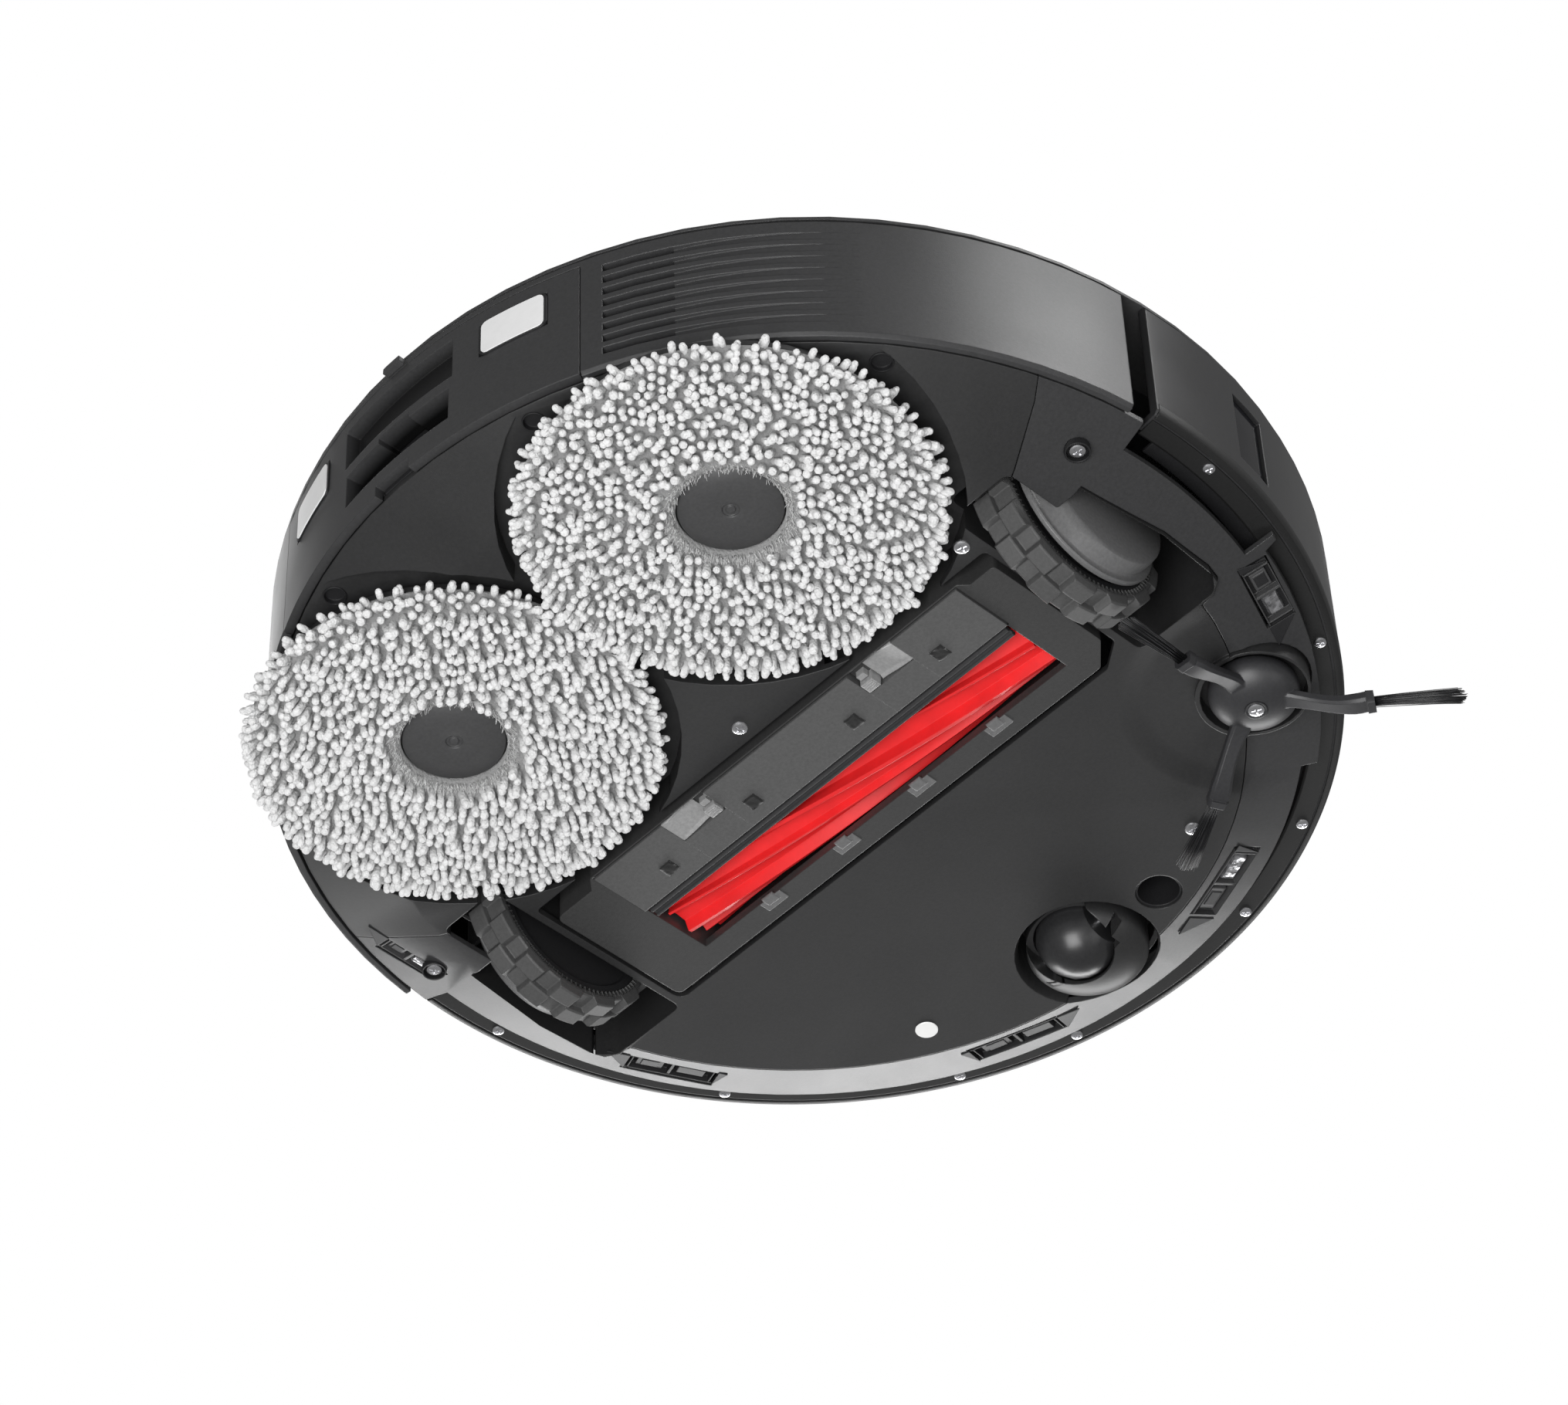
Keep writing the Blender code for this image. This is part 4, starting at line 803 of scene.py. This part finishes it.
bm = bmesh.new()
for x in (0.0604, 0.0199, -0.0278, -0.0675):
    block_of(bm, (x - 0.0026, 0.0030, cover_low - 0.0004),
             (x + 0.0026, 0.0080, cover_low + 0.0004))
bmesh.ops.subdivide_edges(bm, edges=bm.edges, cuts=5, use_grid_fill=True)
rnd = random.Random(5)
for vert in bm.verts:
    vert.co += Vector((rnd.uniform(-1, 1), rnd.uniform(-1, 1), rnd.uniform(-1, 1))) * 0.00018
face_out(bm)
squares = finish_mesh("felt_squares", bm, [felt])
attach(squares, "body")

bm = bmesh.new()
for x in (0.0495, 0.0145, -0.0208, -0.0565):
    block_of(bm, (x - 0.0048, -0.0336, UNDER - 0.0017),
             (x + 0.0048, -0.0290, UNDER - 0.0013), 0.0002)
    block_of(bm, (x - 0.0026, -0.0316, UNDER - 0.0022),
             (x + 0.0026, -0.0276, UNDER - 0.0015), 0.0003)
face_out(bm)
clips = finish_mesh("cover_clips", bm, [arm_plastic], smooth=False)
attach(clips, "body")

# ---- side brush ----------------------------------------------------------------------------
# A domed hub with three curved arms, held by one cross-head screw. Each arm's clip holds a
# bundle of nylon bristles that fans out a little.
HUB = Vector((-0.1192, -0.0842, UNDER))
FIRST_ARM = math.radians(-25.3)
ARM_START, ARM_END = 0.0060, 0.0350      # the arms' radii in the hub and at their clips
BRISTLES = 90                            # in each bundle
BRISTLE_SIZE = 0.00026
brush_plastic = moulded("brush_black", (0.028, 0.028, 0.030), 0.42)
bristle_nylon, tree, shader = shader_of("black_nylon", Roughness=0.38)
grain_colour(tree, shader, (0.010, 0.010, 0.011), 0.4, 2000.0)
bm = bmesh.new()
dome = [(0.0, 0.0130), (0.0038, 0.0130), (0.0038, 0.0034), (0.0140, 0.0034), (0.0147, 0.0026)]
for i in range(11):
    t = math.radians(90 * i / 10)
    dome.append((0.0148 * math.cos(t) if i < 10 else 0.0038, 0.0008 - 0.0081 * math.sin(t)))
dome += [(0.0035, -0.0071), (0.0034, -0.0060), (0.0, -0.0060)]
turned_mesh(bm, dome, centre=HUB, steps=64)


def arm_ring(direction, r, shift, width, depth, z):
    """One cross-section of a brush arm, at radius r and moved sideways by shift."""
    across = Vector((-direction.y, direction.x, 0.0)) * 0.80
    middle = HUB + direction * r + across * shift + Vector((0, 0, z))
    ring = []
    for u, w in ((-0.5, -0.22), (-0.36, -0.5), (0.36, -0.5), (0.5, -0.22), (0.5, 0.5),
                 (-0.5, 0.5)):
        ring.append(tuple(middle + across * (u * width) + Vector((0, 0, w * depth))))
    return ring


for index in range(3):
    turn = FIRST_ARM + math.tau * index / 3
    direction = Vector((math.cos(turn), math.sin(turn), 0.0))
    rings = []
    for i in range(15):
        share = i / 14
        r = ARM_START + (ARM_END - ARM_START) * share
        bow = 0.0016 * math.sin(math.pi * share)
        ease = share * share * (3 - 2 * share)
        width = 0.0098 - 0.0026 * math.sin(math.pi * min(1.0, share * 1.15)) - 0.0014 * share
        depth = 0.0030 + 0.0006 * share
        rings.append(arm_ring(direction, r, bow, width, depth, -0.0034 - 0.0092 * ease))
    rings.append(arm_ring(direction, ARM_END, 0.0, 0.0084, 0.0048, -0.0128))
    rings.append(arm_ring(direction, 0.0376, 0.0, 0.0080, 0.0046, -0.0130))
    ring_stack(bm, rings)
face_out(bm)
hub_arms = sharpen(finish_mesh("brush_hub_arms", bm, [brush_plastic]), 38)
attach(hub_arms, "edge_brush")
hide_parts("side_brush")

bm = bmesh.new()
ring_stack(bm, [[(x + bend, y, z) for x, y, z in circle(4, 0.5 * width, -along)]
                for along, width, bend in ((0.0, 1.0, 0.0), (0.33, 1.0, 0.5), (0.66, 0.95, 1.6),
                                           (1.0, 0.8, 3.2))])
face_out(bm)
bristle = finish_mesh("bristle", bm, [bristle_nylon])
for index in range(3):
    turn = FIRST_ARM + math.tau * index / 3
    direction = Vector((math.cos(turn), math.sin(turn), 0.0))
    across = Vector((-direction.y, direction.x, 0.0))
    rnd = random.Random(40 + index)
    spots = []
    for k in range(BRISTLES):
        u = rnd.uniform(-1, 1)
        w = rnd.uniform(-1, 1)
        root = (HUB + direction * 0.0366 + across * (u * 0.0018)
                + Vector((0, 0, -0.0126 + w * 0.0008)))
        tip = (HUB + direction * (0.0670 - 0.0022 * abs(u) - rnd.uniform(0, 0.0012))
               + across * (u * 0.0030 + rnd.uniform(-0.0010, 0.0010))
               + Vector((0, 0, -0.0160 + w * 0.0008)))
        run = tip - root
        spots.append((tuple(root), strand_turn(run, rnd.uniform(-0.4, 0.4)),
                      (BRISTLE_SIZE, BRISTLE_SIZE, run.length)))
    tuft = repeat("bristles_%d" % (index + 1), bristle, spots, bristle_nylon)
    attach(tuft, "edge_brush")
    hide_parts("bristle_tuft_%d" % (index + 1))
drop(bristle)

# ---- caster --------------------------------------------------------------------------------
# A black ball-shaped wheel, held on its front side by a crescent holder that swivels with it
# in a round pocket of the pan.
ball_plastic = moulded("caster_ball_black", (0.022, 0.022, 0.023), 0.30, grain=0.05)
dress(["caster_wheel"], ball_plastic)
CASTER = Vector((0.0, -0.1287, UNDER))
BALL = Vector((0.0, -0.1239, UNDER + 0.0047))
DOME_R = 0.0206          # outer radius of the crescent's dome


def carve(obj, *cutters):
    """Takes the cutters away from a piece and keeps the result as its mesh."""
    for cutter in cutters:
        step = obj.modifiers.new("carve", "BOOLEAN")
        step.operation = "DIFFERENCE"
        step.solver = "EXACT"
        step.use_self = True
        step.object = cutter
    bpy.context.view_layer.update()
    mesh = bpy.data.meshes.new_from_object(
        obj.evaluated_get(bpy.context.evaluated_depsgraph_get()))
    obj.modifiers.clear()
    obj.data = mesh
    for cutter in cutters:
        drop(cutter)
    return obj


bm = bmesh.new()
dome = [(0.0, 0.0205), (0.0200, 0.0205), (0.0205, 0.0200), (DOME_R, 0.0030)]
for i in range(13):
    t = math.radians(90 * i / 12)
    dome.append((DOME_R * math.cos(t), 0.0022 - 0.0094 * math.sin(t)))
turned_mesh(bm, dome, centre=CASTER, steps=96)
holder = finish_mesh("caster_crescent", bm, [pan_plastic])
bm = bmesh.new()
bmesh.ops.create_uvsphere(bm, u_segments=64, v_segments=32, radius=0.0148)
bmesh.ops.translate(bm, verts=bm.verts, vec=BALL)
room = finish_mesh("ball_room", bm, [dark_plastic])
bm = bmesh.new()
turned_mesh(bm, [(0.0150, -0.03), (0.0150, 0.0)], centre=BALL + Vector((0, 0.0046, 0)), steps=64)
way_in = finish_mesh("ball_way_in", bm, [dark_plastic])
bm = bmesh.new()
block_of(bm, (-0.0190, -0.1250, UNDER - 0.012), (-0.0090, -0.1215, UNDER + 0.004))
block_of(bm, (-0.0140, -0.1290, UNDER - 0.012), (-0.0090, -0.1250, UNDER + 0.001))
notch = finish_mesh("crescent_notch", bm, [dark_plastic])
bm = bmesh.new()
block_of(bm, (0.0112, -0.1285, UNDER - 0.012), (0.0165, -0.1262, UNDER + 0.004))
slot_room = finish_mesh("crescent_slot", bm, [dark_plastic])
carve(holder, room, way_in, notch, slot_room)
sharpen(holder, 30)
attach(holder, "caster_swivel")
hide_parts("caster_holder")

# ---- bumper's lower edge -------------------------------------------------------------------
# The bumper's flange turns inwards under the wall. A fine groove runs round it, outside the
# screws, where the outer skin meets the inner carrier.


def swept(bm, profile, start, end, steps):
    """Sweeps (radius, height) points round the body between two angles from the rear."""
    rings = []
    for i in range(steps + 1):
        a = math.radians(start + (end - start) * i / steps)
        rings.append([(r * math.sin(a), r * math.cos(a), UNDER + h) for r, h in profile])
    ring_stack(bm, rings)


bm = bmesh.new()
swept(bm, [(0.17512, 0.0180), (0.17512, 0.0152), (0.1745, 0.0138), (0.1732, 0.0131),
           (0.1724, 0.0131), (0.1723, 0.0150), (0.1717, 0.0150), (0.1716, 0.0131),
           (0.1652, 0.0131), (0.1645, 0.0136), (0.1645, 0.0164), (0.1700, 0.0166)],
      85.5, 274.5, 160)
face_out(bm)
lip = sharpen(finish_mesh("bumper_lower_lip", bm, [lip_plastic]), 30)
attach(lip, "bumper")
# a black shield inside the body closes the gap that lets the flange move
bm = bmesh.new()
swept(bm, [(0.1580, 0.0172), (0.1668, 0.0172), (0.1668, 0.0184), (0.1580, 0.0184)],
      88.5, 271.5, 120)
face_out(bm)
shield = sharpen(finish_mesh("gap_shield", bm, [dark_plastic]), 30)
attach(shield, "body")

# ---- floor sensors -------------------------------------------------------------------------
# Each pocket has a thin frame, a clear lens block with a silvered back, and a dark receiver
# in its own frame. The pocket's ends are sloped away so that the beams pass.
lens_mat, tree, shader = shader_of("silvered_lens", Metallic=0.7, Roughness=0.22)
place = grain_colour(tree, shader, (0.34, 0.34, 0.35), 0.6, 500.0)
wave = add(tree, "ShaderNodeTexNoise", Scale=420.0, Detail=1.0)
bump = add(tree, "ShaderNodeBump", Strength=0.5, Distance=0.001)
wire(tree, (place, "Object", wave, "Vector"), (wave, "Fac", bump, "Height"),
     (bump, "Normal", shader, "Normal"))
frame_plastic = moulded("sensor_frame", (0.055, 0.055, 0.056), 0.36, grain=0.03)

TRIM_R = 0.142           # the underside is flat up to this radius, then it slopes up
TRIM_SLOPE = 0.323
TRIM_SLOPE_INNER = 0.16  # for a sensor that lies across the start of the slope
WRAP = 0.0012            # how far the frame and tray reach past the pocket's ends
# painted shade: these two sensors are built all in dark plastic, without the silvered lens and
# the lighter frame, so that they show dark and catch no reflection
SHADED_SENSORS = ("front_left", "left")
# name, place, length, turn in degrees, and the end that has the long slope
SENSORS = (("front_right", -0.0510, -0.1420, 0.031, -19.7, 1),
           ("front_left", 0.0475, -0.1430, 0.031, 18.4, -1),
           ("right", -0.1490, -0.0605, 0.022, 112.0, -1),
           ("left", 0.1370, -0.0640, 0.029, 65.0, 1),
           ("rear_left", 0.1560, 0.0370, 0.019, 85.0, 1))
for name, x, y, length, turn, point in SENSORS:
    radius = math.hypot(x, y)
    outward = Vector((x / radius, y / radius, 0.0))
    slope = TRIM_SLOPE if radius > TRIM_R else TRIM_SLOPE_INNER
    normal = (outward * slope + Vector((0, 0, -1))).normalized()
    along = Vector((math.cos(math.radians(turn)), math.sin(math.radians(turn)), 0.0))
    along = (along - normal * along.dot(normal)).normalized()
    across = normal.cross(along)
    if across.dot(outward) < 0:
        across = -across
    surface = Vector((x, y, UNDER + max(0.0, (radius - TRIM_R) * TRIM_SLOPE)))
    grid = Matrix((along, across, -normal)).transposed().to_4x4()
    grid.translation = surface
    wide = 0.0068 if name == "rear_left" else 0.0092
    half, side_half = length / 2, wide / 2
    dark = name in SHADED_SENSORS
    # the shaded sensors take dark plastic for frame and lens: painted shade
    parts = {"tray": dark_plastic, "frame": dark_plastic if dark else frame_plastic,
             "lens": dark_plastic if dark else lens_mat, "eye": dark_plastic}
    pieces = {key: bmesh.new() for key in parts}
    block_of(pieces["tray"], (-half - WRAP, -side_half, 0.0030),
             (half + WRAP, side_half, 0.0040))
    for flip in (1, -1):
        for lo, hi in (((-half - WRAP, side_half - 0.0004), (half + WRAP, side_half)),
                       ((half * 0.98, -side_half), (half * 0.98 + 0.0004, side_half))):
            a = (lo[0] * flip, lo[1] * flip)
            b = (hi[0] * flip, hi[1] * flip)
            block_of(pieces["frame"], (min(a[0], b[0]), min(a[1], b[1]), 0.0004),
                     (max(a[0], b[0]), max(a[1], b[1]), 0.0032))
    block_of(pieces["frame"], (-0.0005, -side_half, 0.0006), (0.0005, side_half, 0.0032))
    block_of(pieces["lens"], (-half * 0.86, -side_half * 0.62, 0.0010),
             (-half * 0.12, side_half * 0.62, 0.0026), 0.0007)
    block_of(pieces["frame"], (half * 0.18, -side_half * 0.66, 0.0014),
             (half * 0.86, side_half * 0.66, 0.0030), 0.0003)
    block_of(pieces["eye"], (half * 0.30, -side_half * 0.46, 0.0011),
             (half * 0.74, side_half * 0.46, 0.0030), 0.0002)
    for end in (1, -1):
        tip = 0.0085 if end == point else 0.0030
        x0 = end * (half + 0.0013)
        inner = -side_half - 0.0004
        corners = ((x0, inner), (x0 + end * tip, inner), (x0, side_half))
        ring_stack(pieces["tray"], [[(*corner, depth) for corner in corners]
                                    for depth in (-0.00004, 0.0004)])
    bm = bmesh.new()
    mats = []
    for key, mat in parts.items():
        part = pieces[key]
        face_out(part)
        for face in part.faces:
            face.material_index = len(mats)
        spare = bpy.data.meshes.new("spare")
        part.to_mesh(spare)
        part.free()
        bm.from_mesh(spare)
        bpy.data.meshes.remove(spare)
        mats.append(mat)
    bmesh.ops.transform(bm, matrix=grid, verts=bm.verts)
    if grid.determinant() < 0:
        bmesh.ops.reverse_faces(bm, faces=bm.faces)
    sensor = finish_mesh("floor_sensor_" + name, bm, mats, smooth=False)
    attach(sensor, "body")
    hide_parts("cliff_window_" + name)

# ---- rear panel: contacts, painted shade in the port, and small fittings -------------------
# Two nickel contacts with rounded corners sit in shallow seats. Dark sheets behind the suction
# port and the scoop above it are painted shade, for the shadow in their hollows.
contact_metal, tree, shader = shader_of("contact_nickel", Metallic=0.10, Roughness=0.32)
grain_colour(tree, shader, (0.97, 0.97, 0.97), 0.02, 300.0)


def curved_plate(bm, r0, r1, a0, a1, z0, z1, corner, steps=20):
    """A plate on the body's curve with rounded corners, between two radii."""
    arc_length = math.radians(abs(a1 - a0)) * r1
    rings = []
    for i in range(steps + 1):
        share = 0.5 - 0.5 * math.cos(math.pi * i / steps)
        from_edge = min(share, 1 - share) * arc_length
        inset = 0.0
        if from_edge < corner:
            inset = corner - math.sqrt(max(0.0, corner ** 2 - (corner - from_edge) ** 2))
        a = math.radians(a0 + (a1 - a0) * share)
        ring = []
        for r, z in ((r1, z0 + inset), (r1, z1 - inset), (r0, z1 - inset), (r0, z0 + inset)):
            ring.append((r * math.sin(a), r * math.cos(a), UNDER + z))
        rings.append(ring)
    ring_stack(bm, rings)
    face_out(bm)


for name, side_sign in (("left", 1), ("right", -1)):
    bm = bmesh.new()
    curved_plate(bm, 0.1742, 0.1756, side_sign * 12.4, side_sign * 19.9, 0.0395, 0.0543, 0.0022)
    plate = sharpen(finish_mesh("contact_plate_" + name, bm, [contact_metal]), 40)
    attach(plate, "body")
    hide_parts("charging_contact_" + name)
    bm = bmesh.new()
    curved_plate(bm, 0.1741, 0.1753, side_sign * 12.05, side_sign * 20.25, 0.0390, 0.0548, 0.0026)
    seat = sharpen(finish_mesh("contact_seat_" + name, bm, [dark_plastic]), 40)
    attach(seat, "body")
# painted shade: dark sheets and a dark floor behind the port and the scoop
bm = bmesh.new()
for near_r, far_r, low_z, high_z, reach in ((0.1655, 0.1663, 0.0180, 0.0368, 9.0),
                                            (0.1690, 0.1703, 0.0392, 0.0470, 8.3)):
    swept(bm, [(near_r, low_z), (far_r, low_z), (far_r, high_z), (near_r, high_z)],
          -reach, reach, 16)
block_of(bm, (-0.0070, 0.1600, UNDER + 0.0120), (0.0070, 0.1715, UNDER + 0.0150))
face_out(bm)
port_shade_sheets = finish_mesh("port_lining", bm, [dark_plastic], smooth=False)
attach(port_shade_sheets, "body")
bm = bmesh.new()
curved_plate(bm, 0.1740, 0.1768, -1.3, 1.3, 0.0625, 0.0655, 0.0006, steps=8)
tab = finish_mesh("lid_release", bm, [deck_plastic], smooth=False)
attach(tab, "body")

# ---- small underside fittings ---------------------------------------------------------------
# A white water sensor, and dark cups at the bottom of the deep screw holes: painted shade for the
# shadow deep in each hole.
sensor_white, tree, shader = shader_of("sensor_white", Roughness=0.35)
grain_colour(tree, shader, (0.85, 0.85, 0.84), 0.03, 200.0)
bm = bmesh.new()
turned_mesh(bm, [(0.0, 0.0010), (0.0039, 0.0010), (0.0039, -0.0001), (0.0037, -0.0003),
                 (0.0, -0.0004)], centre=(0.0625, -0.1136, UNDER), steps=40)
spot = sharpen(finish_mesh("water_sensor", bm, [sensor_white]), 40)
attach(spot, "body")


def sleeve(bm, x, y, outer, inner, rim, depth, thickness, steps):
    """A dark cup of painted shade in a screw hole, open downwards, from its rim up to its closed
    end.
    """
    turned_mesh(bm, [(0.0, depth), (outer, depth), (outer, rim), (inner, rim),
                     (inner, depth - thickness), (0.0, depth - thickness)],
                centre=(x, y, UNDER), steps=steps)


bm = bmesh.new()
for angle in (55.0, 16.8, -16.8, -55.0):
    a = math.radians(angle)
    sleeve(bm, 0.165 * math.sin(a), 0.165 * math.cos(a), 0.00375, 0.0034, 0.0085, 0.0109,
           0.0004, 24)
for x in (0.1525, -0.1525):
    sleeve(bm, x, 0.0286, 0.0041, 0.0036, 0.0024, 0.0049, 0.0003, 32)
sleeve(bm, -0.0361, -0.1255, 0.0078, 0.0070, 0.0008, 0.0200, 0.0010, 40)
# the dark cups stand in for the shadow deep in the holes: painted shade
shade_cups = sharpen(finish_mesh("hole_sleeves", bm, [dark_plastic]), 40)
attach(shade_cups, "body")

# ---- screws --------------------------------------------------------------------------------
# Cross-head machine screws in plated steel: on the underside, round the bumper's flange, and
# one that holds the side brush.
bm = bmesh.new()
turned_mesh(bm, [(0.0, 0.35), (1.0, 0.35), (1.0, 0.02), (0.93, -0.10), (0.70, -0.20),
                 (0.0, -0.24)], steps=24)
head = finish_mesh("screw_head", bm, [bright_steel])
cross = bmesh.new()
for turn in (0.0, math.pi / 2):
    start = len(cross.verts)
    block_of(cross, (-0.60, -0.115, -0.5), (0.60, 0.115, -0.02), -0.03)
    fresh = list(cross.verts)[start:]
    bmesh.ops.rotate(cross, verts=fresh, matrix=Matrix.Rotation(turn, 3, "Z"))
face_out(cross)
slots = finish_mesh("screw_cross", cross, [dark_plastic], smooth=False)
sharpen(carve(head, slots), 30)
head.data.materials.clear()
head.data.materials.append(bright_steel)

FLANGE_SCREW_R = 0.1694  # circle of the screws in the bumper's flange
rnd = random.Random(8)
spots = []
for x, y, z in ((-0.1028, 0.0301, -0.0002), (0.0, 0.0295, -0.0002), (-0.0643, -0.1126, -0.0002),
                (0.1525, 0.0286, 0.0034), (-0.1525, 0.0286, 0.0034)):
    spots.append(((x, y, UNDER + z), (0, 0, rnd.uniform(0, 1.5)), (0.0027,) * 3))
screws = repeat("underside_screws", head, spots, bright_steel)
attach(screws, "body")
spots = []
for angle in (85.4, 56.6, 28.7, 13.7, -13.7, -28.7, -56.6, -85.4):
    a = math.radians(angle)
    spots.append(((FLANGE_SCREW_R * math.sin(a), -FLANGE_SCREW_R * math.cos(a), UNDER + 0.0130),
                  (0, 0, rnd.uniform(0, 1.5)), (0.0021,) * 3))
screws = repeat("bumper_screws", head, spots, bright_steel)
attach(screws, "bumper")
spots = [(HUB + Vector((0, 0, -0.0070)), (0, 0, 0.5), (0.0028,) * 3)]
screw = repeat("side_brush_screw", head, spots, bright_steel)
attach(screw, "edge_brush")
drop(head)
